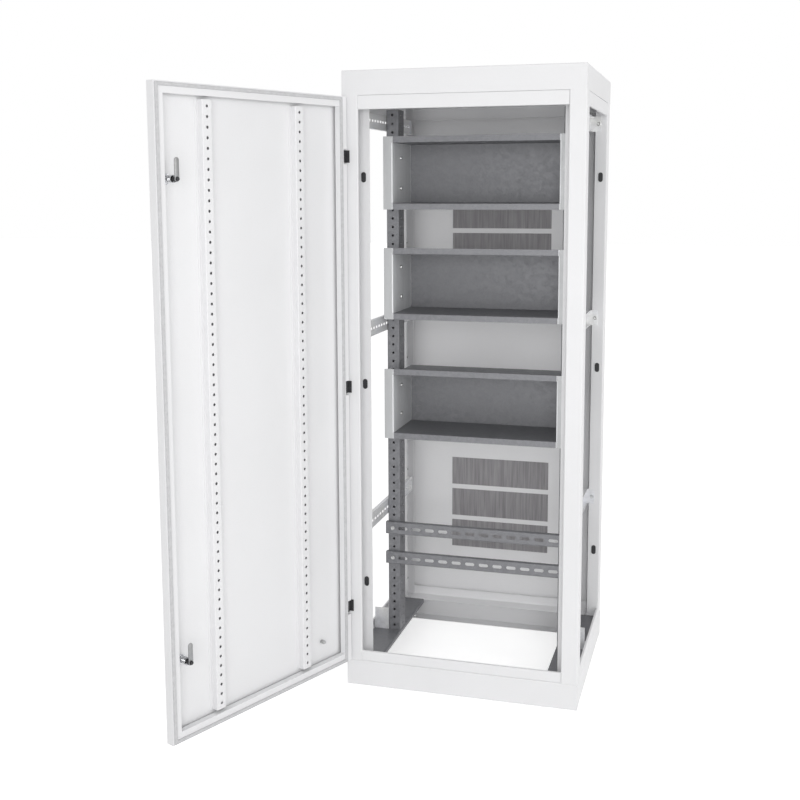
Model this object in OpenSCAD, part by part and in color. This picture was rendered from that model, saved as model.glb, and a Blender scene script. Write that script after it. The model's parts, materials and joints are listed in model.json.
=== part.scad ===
// Floor-standing electrical distribution cabinet: a folded sheet frame on a plinth, with a roof,
// a vented rear panel, perforated uprights that carry open trays and slotted rails, and one
// left-hung door with two quarter-turn locks. The sides and the bottom are open.
// Millimetres, +Z up, front towards -Y, origin on the floor under the middle of the plinth.
// The door stands open as drawn, and its parts are placed closed and then swung about the hinge.

/* [Cabinet] */
// Width of the plinth, frame and roof
cabinet_w = 800; // [700:50:1000]
// Depth of the plinth and roof
cabinet_d = 700; // [600:50:900]
// Height from the floor to the top of the roof
cabinet_h = 2100; // [1900:50:2300]

/* [Plinth and roof] */
// Height of the plinth
plinth_h = 90; // [60:5:120]
// Sheet thickness of the plinth
plinth_sheet = 2; // [1.5:0.5:3]
// Width of the plinth's inward flanges
plinth_flange = 50; // [40:1:58]
// Diameter of the floor anchor holes
anchor_hole_d = 13; // [9:1:18]
// Distance of the floor anchor holes from the sides of the plinth
anchor_side_inset = 60; // [40:5:100]
// Distance of the floor anchor holes from the front and rear of the plinth
anchor_end_inset = 27; // [20:1:32]
// Height of the roof's skirt
roof_h = 80; // [60:5:120]
// Sheet thickness of the roof
roof_sheet = 1.5; // [1:0.5:2.5]
// Width of the flange folded inward along the foot of the roof's skirt
roof_return = 20; // [12:1:30]

/* [Frame] */
// Sheet thickness of the posts and rails
frame_sheet = 2; // [1.5:0.5:2.5]
// Width of a post's outward face
post_face = 55; // [48:1:62]
// Depth of a post along the cabinet's side
post_depth = 65; // [50:1:80]
// Width of a post's inner flange
post_inner = 75; // [70:1:78]
// Height of the lip folded inward round the front and rear openings
frame_lip = 8; // [6:0.5:9]
// Width of a rear post's inner flange
rear_post_inner = 43; // [40:1:50]
// Height of the top rails' outward faces
top_rail_face = 46; // [36:1:60]
// Height of the bottom rails' outward faces
bottom_rail_face = 36; // [30:1:60]
// Width of the floor angles on the bottom side rails, which carry the uprights
floor_angle_w = 102; // [98:1:106]
// Height of the lip folded down along a floor angle's inner edge
floor_angle_lip = 14; // [8:1:20]
// Sheet thickness of the floor angles
floor_angle_sheet = 2; // [1.5:0.5:3]
// Distance of the floor angles from the cabinet's sides
floor_angle_inset = 10; // [8:1:12]
// Width of the slots in the posts' inner flanges
post_slot_w = 12; // [8:1:14]
// Distance of these slots from the flange's free edge
post_slot_inset = 21; // [18:1:25]
// Height of the slots in the posts' inner flanges
post_slot_h = 30; // [20:1:40]
// Height of the lowest of these slots above the floor
post_slot_z = 355; // [320:5:400]
// Step between these slots along the post
post_slot_step = 700; // [500:10:760]
// Overlap of a slot plug's head round its slot
plug_rim = 2; // [1:0.5:2.5]
// Thickness of a slot plug's head
plug_head_t = 2; // [1:0.5:3]

/* [Rear panel] */
// Depth of the rear panel's folded edge
panel_depth = 12; // [8:1:20]
// Sheet thickness of the rear panel
panel_sheet = 1.5; // [1:0.5:2]
// Gap round the rear panel, to the roof, the plinth and the frame's sides
panel_gap = 2; // [1:0.5:4]
// Width of a ventilation slot
vent_slot_w = 5; // [3:0.5:6]
// Step between ventilation slots
vent_slot_step = 10; // [8:0.5:12]
// Number of slots in one field
vent_slots = 37; // [20:1:44]
// Height of one field of slots
vent_h = 92; // [60:1:110]
// Step between the fields of one group
vent_field_step = 126.5; // [120:0.5:140]
// Number of fields in a group
vent_fields = 3; // [2:1:3]
// Height of the lowest field above the plinth
vent_rise = 219; // [180:1:260]
// Distance of the highest field below the roof
vent_drop = 229; // [180:1:260]
// Number of screws along each edge of the rear panel
panel_screws = 5; // [3:1:7]
// Distance of these screws from the ends of the panel
panel_screw_inset = 60; // [50:5:120]
// Thickness of the screens behind the ventilation slots
screen_t = 1; // [0.5:0.5:2]
// Overlap of a screen round its field of slots
screen_margin = 8; // [5:0.5:12]

/* [Mounting uprights] */
// Width of an upright's front face
upright_w = 45; // [38:1:50]
// Depth of an upright
upright_depth = 70; // [50:1:90]
// Width of the lips along an upright's open rear
upright_lip = 10; // [8:0.5:14]
// Sheet thickness of the uprights
upright_sheet = 2; // [1.5:0.5:2.5]
// Distance of an upright's outer face from the cabinet's side
upright_inset = 65; // [60:1:72]
// Distance of the uprights behind the front of the frame
upright_setback = 290; // [250:5:320]
// Gap above the uprights, to the top of the frame
upright_top_gap = 30; // [20:1:50]
// Diameter of the mounting holes
mount_hole_d = 9; // [7:0.5:11]
// Step between mounting holes
mount_hole_step = 30; // [25:1:40]

/* [Straps and brackets] */
// Height of the straps between the front and rear posts
strap_h = 55; // [45:1:65]
// Width of a strap's flanges
strap_flange = 15; // [10:0.5:18]
// Width of the tabs at a strap's ends
strap_tab = 42; // [36:1:46]
// Sheet thickness of the straps and foot brackets
strap_sheet = 2; // [1.5:0.5:2.5]
// Height of the lower straps above the floor
lower_strap_z = 562; // [520:2:600]
// Height of the middle straps above the floor
middle_strap_z = 1240; // [1180:2:1280]
// Distance of the upper straps below the top of the frame
upper_strap_drop = 75; // [75:1:90]
// Length of the slots in a strap
strap_slot_l = 18; // [12:1:20]
// Height of the slots in a strap
strap_slot_h = 9; // [7:0.5:11]
// Step between slots along a strap
strap_slot_step = 30; // [26:1:40]
// Height of the brackets at the feet of the uprights
foot_bracket_h = 80; // [50:1:90]
// Width of these brackets
foot_bracket_w = 53; // [40:1:56]

/* [Trays] */
// Height of a tray over its front lips
tray_h = 250; // [200:5:255]
// Depth of a tray
tray_depth = 235; // [180:5:260]
// Width of a tray's side lips
tray_side_lip = 32; // [20:1:34]
// Height of a tray's top and bottom lips
tray_end_lip = 20; // [12:1:26]
// Sheet thickness of the trays
tray_sheet = 1.5; // [1:0.5:2]
// Distance of the trays' lips behind the front of the frame
tray_setback = 208; // [180:2:220]
// Distance of the upper tray below the top of the frame
tray_drop = 125; // [110:1:140]
// Gap between the upper and middle trays
upper_tray_gap = 133; // [110:1:140]
// Gap between the middle and lower trays
lower_tray_gap = 176; // [150:1:185]

/* [Cross rails] */
// Height of a cross rail
cross_rail_h = 45; // [38:1:52]
// Depth of a cross rail
cross_rail_depth = 18; // [14:1:24]
// Sheet thickness of the cross rails
cross_rail_sheet = 2; // [1.5:0.5:2.5]
// Reach of a cross rail past the uprights
cross_rail_reach = 4; // [0:0.5:8]
// Height of the upper cross rail above the floor
upper_cross_rail_z = 487; // [460:1:500]
// Height of the lower cross rail above the floor
lower_cross_rail_z = 375; // [340:1:390]
// Length of the slots in a cross rail
cross_slot_l = 34; // [24:1:38]
// Height of the slots in a cross rail
cross_slot_h = 12; // [8:0.5:16]
// Step between slots along a cross rail
cross_slot_step = 50; // [44:1:60]

/* [Door] */
// Gap between the closed door's edges and the cabinet's sides
door_side_gap = 5; // [3:0.5:8]
// Gap between the door and the plinth
door_foot_gap = 4; // [3:0.5:20]
// Gap between the door and the roof
door_head_gap = 5; // [3:0.5:10]
// Gap between the closed door and the frame
door_stand = 6; // [5:0.5:8]
// Depth of the door's folded edge
door_depth = 30; // [28:1:36]
// Sheet thickness of the door
door_sheet = 1.5; // [1:0.5:2]
// Width of the lip round the inside of the door
door_lip = 33; // [32.5:0.5:38]
// Depth of the fold from that lip back towards the skin
door_return = 20; // [12:1:22]
// Angle at which the door stands open
door_open = 113; // [60:0.5:125]
// Width of the door's stiffeners
stiffener_w = 37; // [30:1:45]
// Depth of the door's stiffeners
stiffener_depth = 22; // [16:1:24]
// Width of a stiffener's flanges
stiffener_flange = 12; // [10:1:16]
// Sheet thickness of the stiffeners
stiffener_sheet = 1.5; // [1:0.5:2]
// Distance of the hinge-side stiffener from the middle of the door
hinge_stiffener_offset = 183; // [150:1:200]
// Distance of the lock-side stiffener from the middle of the door
lock_stiffener_offset = 197; // [150:1:210]
// Gap between the stiffeners and the ends of the door
stiffener_end_gap = 42; // [38:1:80]
// Diameter of the holes in the stiffeners
stiffener_hole_d = 9; // [6:0.5:11]
// Step between the holes in the stiffeners
stiffener_hole_step = 30; // [24:1:40]
// Width of the door seal
seal_w = 10; // [6:0.5:10.5]
// Distance of the seal from the door's free edges
seal_inset = 4; // [3:0.5:8]
// Distance of the seal from the door's hinge edge
seal_hinge_inset = 22.5; // [22:0.5:23]
// Gap left between the seal and the frame when the door is closed
seal_gap = 0.4; // [0.3:0.1:1]

/* [Hinges] */
// Radius of a hinge barrel
barrel_r = 5; // [4.5:0.1:5.5]
// Height of a hinge
hinge_h = 40; // [30:1:60]
// Radius of a hinge pin
pin_r = 3; // [2:0.1:3.5]
// Radial clearance of a pin in the door's leaf, and of other turning fits
running_fit = 0.05; // [0.03:0.01:0.1]
// Radial clearance of a pin in the frame's leaf
tight_fit = 0.02; // [0.01:0.005:0.03]
// Gap between the two knuckles of a hinge
knuckle_gap = 0.5; // [0.3:0.1:1]
// Depth of the hinge axis behind the inside of the door
hinge_sink = 10; // [9.5:0.5:12]
// Width of the arm of the frame's leaf
hinge_arm_w = 6; // [4:0.5:6.5]
// Reach of the frame leaf's plate towards the door opening, from the hinge axis
hinge_plate_reach = 16; // [8:0.5:16.5]
// Reach of the frame leaf's plate towards the cabinet's side, from the hinge axis
hinge_plate_back = 6; // [4:0.5:7]
// Thickness of the leaves
hinge_leaf_t = 3; // [2:0.5:3]
// Distance of the outer hinges from the ends of the door
hinge_end_inset = 193; // [150:1:240]
// Depth of the notch in the door's edge at a hinge
hinge_notch_depth = 22; // [21:0.5:24]
// Width of the notch in the door's lip at a hinge
hinge_notch_w = 15; // [14:0.5:16]
// Room above and below a hinge in its notch
hinge_notch_room = 3; // [2:0.5:6]

/* [Locks] */
// Distance of the locks from the door's free edge
lock_inset = 60; // [57:0.5:64]
// Distance of the lower lock from the bottom of the door
lower_lock_rise = 243; // [200:1:280]
// Distance of the upper lock from the top of the door
upper_lock_drop = 268; // [240:1:320]
// Radius of a lock's threaded body
lock_r = 11; // [9:0.5:12]
// Radius of a lock's outer flange
lock_flange_r = 15; // [13:0.5:18]
// Thickness of a lock's outer flange
lock_flange_t = 3; // [2:0.5:5]
// Reach of a lock's body past the inside of the door
lock_reach = 4; // [2:0.5:4.5]
// Width across the flats of a lock's nut
lock_nut_af = 27; // [25:0.5:30]
// Height of a lock's nut
lock_nut_h = 6; // [4:0.5:8]
// Radius of a lock's spindle
spindle_r = 6; // [5:0.1:6.5]
// Depth of the key recess in the spindle
key_recess = 8; // [5:0.5:10]
// Radius of the key recess over its three corners
key_r = 4.8; // [3:0.1:4.9]
// Width of the square end of a spindle
spindle_square = 8; // [6:0.1:8.2]
// Distance of the cam behind the inside of the door
cam_stand = 16; // [15.5:0.5:18]
// Length of the cam from the lock's axis
cam_l = 60; // [45:0.5:61]
// Width of the cam
cam_w = 16; // [14:0.5:17]
// Thickness of the cam
cam_t = 3; // [2:0.5:4]

/* [Fasteners] */
// Diameter of the bolts
bolt_d = 6; // [4:0.5:7]
// Width across the flats of a bolt head
bolt_af = 13; // [11:0.5:14]
// Height of a bolt head
bolt_head_h = 5; // [3:0.5:6]
// Reach of a bolt past the sheets that it holds
bolt_reach = 8; // [4:0.5:10]
// Width across the flats of a bolt's nut
nut_af = 10; // [9:0.5:12]
// Height of a bolt's nut
nut_h = 5; // [3:0.5:6]
// Clearance round a bolt in its hole
bolt_play = 0.5; // [0.3:0.1:1]
// Diameter of the earth stud on the door
stud_d = 8; // [6:0.5:10]
// Length of the earth stud
stud_l = 20; // [14:1:24]
// Distance of the earth stud from the door's hinge edge
stud_inset = 122; // [100:1:150]
// Distance of the earth stud from the bottom of the door
stud_rise = 100; // [60:1:140]

/* [Hidden] */
$fn = 48;
// Run-out of cutting tools past the faces that they cut
eps = 1;
// Room left between folded pieces that meet at a corner
corner_gap = 1;
// Room left along the seams between a tray's plates
seam_gap = 0.3;
half_w = cabinet_w / 2;
front_y = -cabinet_d / 2;
rear_y = cabinet_d / 2 - panel_depth;
frame_y = (front_y + rear_y) / 2;
frame_z0 = plinth_h;
frame_z1 = cabinet_h - roof_h;
frame_z = (frame_z0 + frame_z1) / 2;
frame_h = frame_z1 - frame_z0;
frame_d = rear_y - front_y;
opening_w = cabinet_w - 2 * post_face;
side_rail_l = frame_d - 2 * post_depth;
rail_flange = post_depth - frame_sheet - corner_gap;
panel_w = cabinet_w - 2 * panel_gap;
panel_h = frame_h - 2 * panel_gap;
panel_screw_x = half_w - post_face / 2;
panel_screw_step = (panel_h - 2 * panel_screw_inset) / (panel_screws - 1);
vent_w = (vent_slots - 1) * vent_slot_step + vent_slot_w;

upright_x = half_w - upright_inset;
upright_y = front_y + upright_setback;
upright_z0 = frame_z0 + frame_sheet + floor_angle_sheet;
upright_l = frame_z1 - upright_top_gap - upright_z0;
mount_holes = floor(upright_l / mount_hole_step);
bolt_hole_d = bolt_d + 2 * bolt_play;

strap_front_y = front_y + post_depth;
strap_l = side_rail_l;
upper_strap_z = frame_z1 - upper_strap_drop;
strap_levels = [lower_strap_z, middle_strap_z, upper_strap_z];
post_slot_room = upper_strap_z - strap_h / 2 - post_slot_h / 2 - plug_rim - post_slot_z;
post_slots = floor(post_slot_room / post_slot_step) + 1;
strap_bolt_x = upright_x + strap_tab - bolt_af / 2 - strap_sheet;
strap_slots = floor((strap_l - 2 * strap_slot_l) / strap_slot_step);
upright_mid_y = upright_y + upright_depth / 2;

tray_x = upright_x - upright_w;
tray_box_h = tray_h - 2 * tray_end_lip;
tray_y = front_y + tray_setback;
tray_tops = [for (i = [0:2]) frame_z1 - tray_drop - i * tray_h
    - (i > 0 ? upper_tray_gap : 0) - (i > 1 ? lower_tray_gap : 0)];
tray_plate_d = tray_depth - tray_sheet - seam_gap;
tray_bolt_rise = tray_box_h / 4;

cross_rail_half = upright_x + cross_rail_reach;
cross_bolt_x = upright_x - upright_w / 2;
cross_slots = floor((2 * (cross_bolt_x - bolt_af) - cross_slot_l) / cross_slot_step) + 1;

door_w = cabinet_w - 2 * door_side_gap;
door_z0 = frame_z0 + door_foot_gap;
door_z1 = frame_z1 - door_head_gap;
door_h = door_z1 - door_z0;
door_z = (door_z0 + door_z1) / 2;
door_y = front_y - door_stand;
skin_inner = door_depth - door_sheet;
hinge_x = -half_w + door_side_gap + barrel_r;
hinge_y = door_y - hinge_sink;
hinge_levels = [door_z0 + hinge_end_inset, door_z, door_z1 - hinge_end_inset];
knuckle_h = (hinge_h - knuckle_gap) / 2;
pin_head_r = barrel_r - running_fit;
pin_head_h = 2 * running_fit + 2;
leaf_end_x = -half_w + door_side_gap + door_lip - door_sheet - corner_gap;

stiffener_l = door_h - 2 * stiffener_end_gap;
stiffener_holes = floor(stiffener_l / stiffener_hole_step);
seal_t = door_stand - seal_gap;
lock_x = door_w / 2 - lock_inset;
lock_levels = [lower_lock_rise - door_h / 2, door_h / 2 - upper_lock_drop];
stud_x = stud_inset - door_w / 2;
stud_y = stud_rise - door_h / 2;
stud_nut_z = skin_inner - stud_l / 2;

paint = [0.92, 0.92, 0.9];
zinc = [0.55, 0.56, 0.58];
white_zinc = [0.82, 0.83, 0.84];
chrome = [0.78, 0.79, 0.81];
black = [0.12, 0.12, 0.13];
rubber = [0.6, 0.6, 0.6];
mesh_grey = [0.42, 0.42, 0.44];

// Section of a folded sheet: straight legs joined by right-angle bends, 1 to the left, -1 to the
// right. Each leg is measured over the faces of its neighbours, and the inside radius is the sheet.
module folded_section(legs, turns, sheet, i = 0) {
    bend = 2 * sheet;
    ends = len(legs) - 1;
    run = legs[i] - (i > 0 ? bend : 0) - (i < ends ? bend : 0);
    square([run, sheet]);
    if (i < ends) {
        left = turns[i] > 0;
        translate([run, left ? bend : sheet - bend]) {
            intersection() {
                difference() {
                    circle(bend);
                    circle(bend - sheet);
                }
                translate([0, left ? -bend : 0])
                    square(bend);
            }
            translate([left ? bend : bend - sheet, 0])
                rotate(left ? 90 : -90)
                    folded_section(legs, turns, sheet, i + 1);
        }
    }
}

// Rectangle with rounded upper corners, standing on the X axis
module crowned(w, h, r) {
    translate([-w / 2, 0])
        square([w, h - r]);
    translate([r - w / 2, 0])
        square([w - 2 * r, h]);
    for (side = [-1, 1])
        translate([side * (w / 2 - r), h - r])
            circle(r);
}

// Block rounded along its four upper edges
module crowned_block(w, d, h, r) {
    intersection() {
        rotate([90, 0, 0])
            linear_extrude(d, center = true)
                crowned(w, h, r);
        rotate([90, 0, 90])
            linear_extrude(w, center = true)
                crowned(d, h, r);
    }
}

// Folded sheet pan, open downward
module pan(w, d, h, sheet) {
    difference() {
        crowned_block(w, d, h, 2 * sheet);
        translate([0, 0, -sheet])
            crowned_block(w - 2 * sheet, d - 2 * sheet, h, sheet);
    }
}

// Flat rectangular ring, from an outer size in to a margin
module ring(w, d, margin, h) {
    linear_extrude(h)
        difference() {
            square([w, d], center = true);
            square([w - 2 * margin, d - 2 * margin], center = true);
        }
}

// Slot with round ends along X
module slot(l, w) {
    square([l - w, w], center = true);
    for (end = [-1, 1])
        translate([end * (l - w) / 2, 0])
            circle(w / 2);
}

// Places along X, evenly stepped about the middle
module row(count, step) {
    for (i = [0:count - 1])
        translate([(i - (count - 1) / 2) * step, 0, 0])
            children();
}

// Mirror images for the left side and for the rear of the frame
module on_side(side) {
    mirror([side > 0 ? 0 : 1, 0, 0])
        children();
}

module on_end(end) {
    translate([0, frame_y, 0])
        mirror([0, end > 0 ? 1 : 0, 0])
            translate([0, -frame_y, 0])
                children();
}

module on_level(level) {
    translate([0, 0, frame_z])
        mirror([0, 0, level < 0 ? 1 : 0])
            translate([0, 0, -frame_z])
                children();
}

// Hexagon bolt along +Z, its head below the origin
module bolt(grip) {
    translate([0, 0, -bolt_head_h])
        cylinder(h = bolt_head_h, d = bolt_af / cos(30), $fn = 6);
    translate([0, 0, -eps])
        cylinder(h = grip + bolt_reach + eps, d = bolt_d);
}

// Nut on the tail of that bolt
module nut(grip) {
    translate([0, 0, grip])
        difference() {
            cylinder(h = nut_h, d = nut_af / cos(30), $fn = 6);
            translate([0, 0, -eps])
                cylinder(h = nut_h + 2 * eps, r = bolt_d / 2 + tight_fit);
        }
}

module fastener(part, grip) {
    if (part == "bolt")
        bolt(grip);
    else
        nut(grip);
}

// One side of the plinth: a channel along X with its flanges inward, cut back where corners meet
module plinth_side(l, flange_l) {
    bend = 2 * plinth_sheet;
    rotate([90, 0, 90]) {
        linear_extrude(l, center = true)
            translate([0, bend])
                square([plinth_sheet, plinth_h - 2 * bend]);
        linear_extrude(flange_l, center = true)
            translate([plinth_flange, plinth_sheet])
                rotate(180)
                    folded_section([plinth_flange, plinth_h, plinth_flange], [-1, -1], plinth_sheet);
    }
}

module plinth_end(end) {
    mirror([0, end > 0 ? 1 : 0, 0])
        difference() {
            translate([0, -cabinet_d / 2, 0])
                plinth_side(cabinet_w, cabinet_w);
            for (side = [-1, 1])
                translate([side * (half_w - anchor_side_inset), anchor_end_inset - cabinet_d / 2, -eps])
                    cylinder(h = plinth_sheet + 2 * eps, d = anchor_hole_d);
        }
}

module plinth_flank(side) {
    on_side(side)
        translate([half_w, 0, 0])
            rotate(90)
                plinth_side(cabinet_d - 2 * plinth_sheet, cabinet_d - 2 * plinth_flange);
}

// Corner post: lip, outward face, side and inner flange in one folded channel
module post(side, end) {
    inner = end > 0 ? rear_post_inner : post_inner;
    on_end(end)
        on_side(side)
            difference() {
                translate([opening_w / 2 + frame_sheet, front_y + frame_lip, frame_z0])
                    mirror([1, 0, 0])
                        linear_extrude(frame_h)
                            rotate(-90)
                                folded_section([frame_lip, post_face, post_depth, inner],
                                    [-1, -1, -1], frame_sheet);
                post_cuts(end, half_w - inner + post_slot_inset);
            }
}

// Slots and bolt holes in a post's inner flange, and screw holes in a rear post's outward face
module post_cuts(end, slot_x) {
    translate([0, front_y + post_depth + eps, 0])
        rotate([90, 0, 0]) {
            for (i = [0:post_slots - 1])
                translate([slot_x, post_slot_z + i * post_slot_step, 0])
                    rotate(90)
                        linear_extrude(frame_sheet + 2 * eps)
                            slot(post_slot_h, post_slot_w);
            for (z = strap_levels)
                translate([strap_bolt_x, z, 0])
                    cylinder(h = frame_sheet + 2 * eps, d = bolt_hole_d);
        }
    if (end > 0)
        translate([panel_screw_x, front_y - eps, frame_z])
            rotate([0, -90, -90])
                row(panel_screws, panel_screw_step)
                    cylinder(h = frame_sheet + 2 * eps, d = bolt_hole_d);
}

// Plugs in these slots, their heads on the side that faces the front
module slot_plug_set() {
    for (side = [-1, 1], end = [-1, 1], i = [0:post_slots - 1])
        on_side(side)
            translate([half_w - (end > 0 ? rear_post_inner : post_inner) + post_slot_inset,
                end > 0 ? rear_y - post_depth : front_y + post_depth - frame_sheet,
                post_slot_z + i * post_slot_step])
                rotate([90, 90, 0])
                    slot_plug();
}

module slot_plug() {
    linear_extrude(plug_head_t)
        slot(post_slot_h + 2 * plug_rim, post_slot_w + 2 * plug_rim);
    translate([0, 0, -2 * frame_sheet])
        linear_extrude(2 * frame_sheet + eps)
            slot(post_slot_h - 2 * bolt_play, post_slot_w - 2 * bolt_play);
}

// Rail section with the outward face at x = 0, its lip below and its flange on top
module rail_section(face, flange) {
    translate([frame_lip, frame_z1 - face + frame_sheet])
        rotate(180)
            folded_section([frame_lip, face, flange], [-1, -1], frame_sheet);
}

module end_rail(end, level) {
    on_end(end)
        on_level(level)
            translate([0, front_y, 0])
                rotate([90, 0, 90])
                    linear_extrude(opening_w, center = true)
                        rail_section(level > 0 ? top_rail_face : bottom_rail_face, rail_flange);
}

module side_rail(side, level) {
    on_side(side)
        on_level(level)
            translate([half_w, frame_y, 0])
                rotate([90, 0, 180])
                    linear_extrude(side_rail_l, center = true)
                        rail_section(level > 0 ? top_rail_face : bottom_rail_face, rail_flange);
}

// Angles along the bottom side rails, flat on their flanges, with the inner edge folded down
module floor_angle_set() {
    for (side = [-1, 1])
        on_side(side)
            translate([half_w - floor_angle_inset, frame_y, frame_z0 + frame_sheet])
                rotate([90, 0, 180])
                    linear_extrude(side_rail_l - 2 * corner_gap, center = true)
                        folded_section([floor_angle_w, floor_angle_lip], [-1], floor_angle_sheet);
}

module roof_pan() {
    translate([0, 0, frame_z1]) {
        pan(cabinet_w, cabinet_d, roof_h, roof_sheet);
        ring(cabinet_w - 2 * roof_sheet, cabinet_d - 2 * roof_sheet, roof_return, roof_sheet);
    }
}

// Rear panel in its own plane: X across, Y up, Z outward
module on_panel() {
    translate([0, rear_y, frame_z])
        rotate([-90, 0, 0])
            mirror([0, 1, 0])
                children();
}

module vent_group(inset) {
    for (i = [0:vent_fields - 1])
        translate([0, inset - frame_h / 2 + vent_h / 2 + i * vent_field_step])
            row(vent_slots, vent_slot_step)
                rotate(90)
                    slot(vent_h, vent_slot_w);
}

module vented_panel() {
    on_panel()
        difference() {
            pan(panel_w, panel_h, panel_depth, panel_sheet);
            linear_extrude(panel_depth + eps) {
                vent_group(vent_rise);
                mirror([0, 1])
                    vent_group(vent_drop);
            }
            panel_screw_places()
                cylinder(h = panel_depth + eps, d = bolt_hole_d);
        }
}

// Mesh screens over the fields of slots, on the inside of the panel
module vent_screen_set() {
    on_panel()
        translate([0, 0, panel_depth - panel_sheet - screen_t])
            linear_extrude(screen_t) {
                vent_screen_group(vent_rise);
                mirror([0, 1])
                    vent_screen_group(vent_drop);
            }
}

module vent_screen_group(inset) {
    for (i = [0:vent_fields - 1])
        translate([0, inset - frame_h / 2 + vent_h / 2 + i * vent_field_step])
            square([vent_w + 2 * screen_margin, vent_h + 2 * screen_margin], center = true);
}

module panel_screw_places() {
    for (side = [-1, 1])
        translate([side * panel_screw_x, 0, 0])
            rotate(90)
                row(panel_screws, panel_screw_step)
                    children();
}

// Low round-headed screws that hold the rear panel to the rear posts
module panel_screw_set() {
    on_panel()
        panel_screw_places() {
            translate([0, 0, panel_depth])
                cylinder(h = bolt_head_h / 2, d1 = bolt_af, d2 = bolt_af - bolt_head_h);
            translate([0, 0, -bolt_reach])
                cylinder(h = panel_depth + bolt_reach + eps, d = bolt_d);
        }
}

// Perforated upright, open to the rear
module upright(side) {
    on_side(side)
        difference() {
            translate([upright_x - upright_lip, upright_y + upright_depth, upright_z0])
                linear_extrude(upright_l)
                    translate([0, -upright_sheet])
                        folded_section([upright_lip, upright_depth, upright_w, upright_depth, upright_lip],
                            [-1, -1, -1, -1], upright_sheet);
            upright_holes();
            upright_bolt_holes();
        }
}

// Mounting holes down the middle of the front face and of the inner side
module upright_holes() {
    translate([0, 0, upright_z0 + upright_l / 2])
        rotate([0, -90, 0])
            row(mount_holes, mount_hole_step) {
                translate([0, upright_y - eps, -cross_bolt_x])
                    rotate([-90, 0, 0])
                        cylinder(h = upright_sheet + 2 * eps, d = mount_hole_d);
                translate([0, upright_mid_y, -tray_x - upright_sheet - eps])
                    cylinder(h = upright_sheet + 2 * eps, d = mount_hole_d);
            }
}

// Bolt holes for the straps, the foot bracket, the trays and the cross rails
module upright_bolt_holes() {
    for (z = concat(strap_levels, [upright_z0 + foot_bracket_h / 2]))
        translate([upright_x - upright_sheet - eps, upright_mid_y, z])
            rotate([0, 90, 0])
                cylinder(h = upright_sheet + 2 * eps, d = bolt_hole_d);
    for (z = tray_bolt_levels())
        for (y = tray_bolt_ys())
            translate([tray_x - eps, y, z])
                rotate([0, 90, 0])
                    cylinder(h = upright_sheet + 2 * eps, d = bolt_hole_d);
    for (z = [lower_cross_rail_z, upper_cross_rail_z])
        translate([cross_bolt_x, upright_y - eps, z])
            rotate([-90, 0, 0])
                cylinder(h = upright_sheet + 2 * eps, d = bolt_hole_d);
}

function tray_bolt_levels() = [for (top = tray_tops, s = [-1, 1]) top - tray_h / 2 + s * tray_bolt_rise];
function tray_bolt_ys() = [upright_y + upright_depth / 4];

// Angle at the foot of an upright: foot on the floor angle, side plate and front gusset
module foot_bracket(side) {
    on_side(side)
        difference() {
            translate([upright_x, upright_y, upright_z0]) {
                cube([foot_bracket_w, upright_depth, strap_sheet]);
                cube([strap_sheet, upright_depth, foot_bracket_h]);
                cube([foot_bracket_w, strap_sheet, foot_bracket_h]);
            }
            translate([upright_x - eps, upright_mid_y, upright_z0 + foot_bracket_h / 2])
                rotate([0, 90, 0])
                    cylinder(h = strap_sheet + 2 * eps, d = bolt_hole_d);
        }
}

// Slotted strap between the posts of one side, with tabs bolted behind their inner flanges
module strap(side, z) {
    on_side(side)
        translate([upright_x, 0, z])
            difference() {
                union() {
                    translate([0, frame_y, 0])
                        rotate([90, 0, 0])
                            linear_extrude(strap_l, center = true)
                                translate([strap_flange, strap_h / 2 - strap_sheet])
                                    mirror([1, 0])
                                        folded_section([strap_flange, strap_h, strap_flange], [-1, -1],
                                            strap_sheet);
                    for (end = [-1, 1])
                        translate([0, frame_y + end * (strap_l - strap_sheet) / 2, 0])
                            cube_on(strap_tab, strap_sheet, strap_h);
                }
                strap_cuts();
            }
}

module cube_on(w, d, h) {
    translate([0, -d / 2, -h / 2])
        cube([w, d, h]);
}

module strap_cuts() {
    translate([-eps, frame_y, 0])
        rotate([90, 0, 90])
            linear_extrude(strap_sheet + 2 * eps)
                row(strap_slots, strap_slot_step)
                    slot(strap_slot_l, strap_slot_h);
    for (end = [-1, 1])
        translate([strap_bolt_x - upright_x, frame_y + end * strap_l / 2, 0])
            rotate([90, 0, 0])
                cylinder(h = 2 * strap_sheet + 2 * eps, d = bolt_hole_d, center = true);
    translate([-eps, upright_mid_y, 0])
        rotate([0, 90, 0])
            cylinder(h = strap_sheet + 2 * eps, d = bolt_hole_d);
}

// Bolts or nuts of the straps and foot brackets
module strap_fasteners(part) {
    for (side = [-1, 1])
        on_side(side) {
            for (z = strap_levels) {
                for (end = [-1, 1])
                    on_end(end)
                        translate([strap_bolt_x, strap_front_y + strap_sheet, z])
                            rotate([90, 0, 0])
                                fastener(part, strap_sheet + frame_sheet);
                translate([upright_x + strap_sheet, upright_mid_y, z])
                    rotate([0, -90, 0])
                        fastener(part, strap_sheet + upright_sheet);
            }
            translate([upright_x + strap_sheet, upright_mid_y, upright_z0 + foot_bracket_h / 2])
                rotate([0, -90, 0])
                    fastener(part, strap_sheet + upright_sheet);
        }
}

// Section of a tray's plate along -X from its front at x = 0, its lip away from the tray's middle
module tray_section(reach, lip) {
    translate([-tray_plate_d, reach - tray_sheet])
        folded_section([tray_plate_d, lip + tray_sheet], [1], tray_sheet);
}

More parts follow.
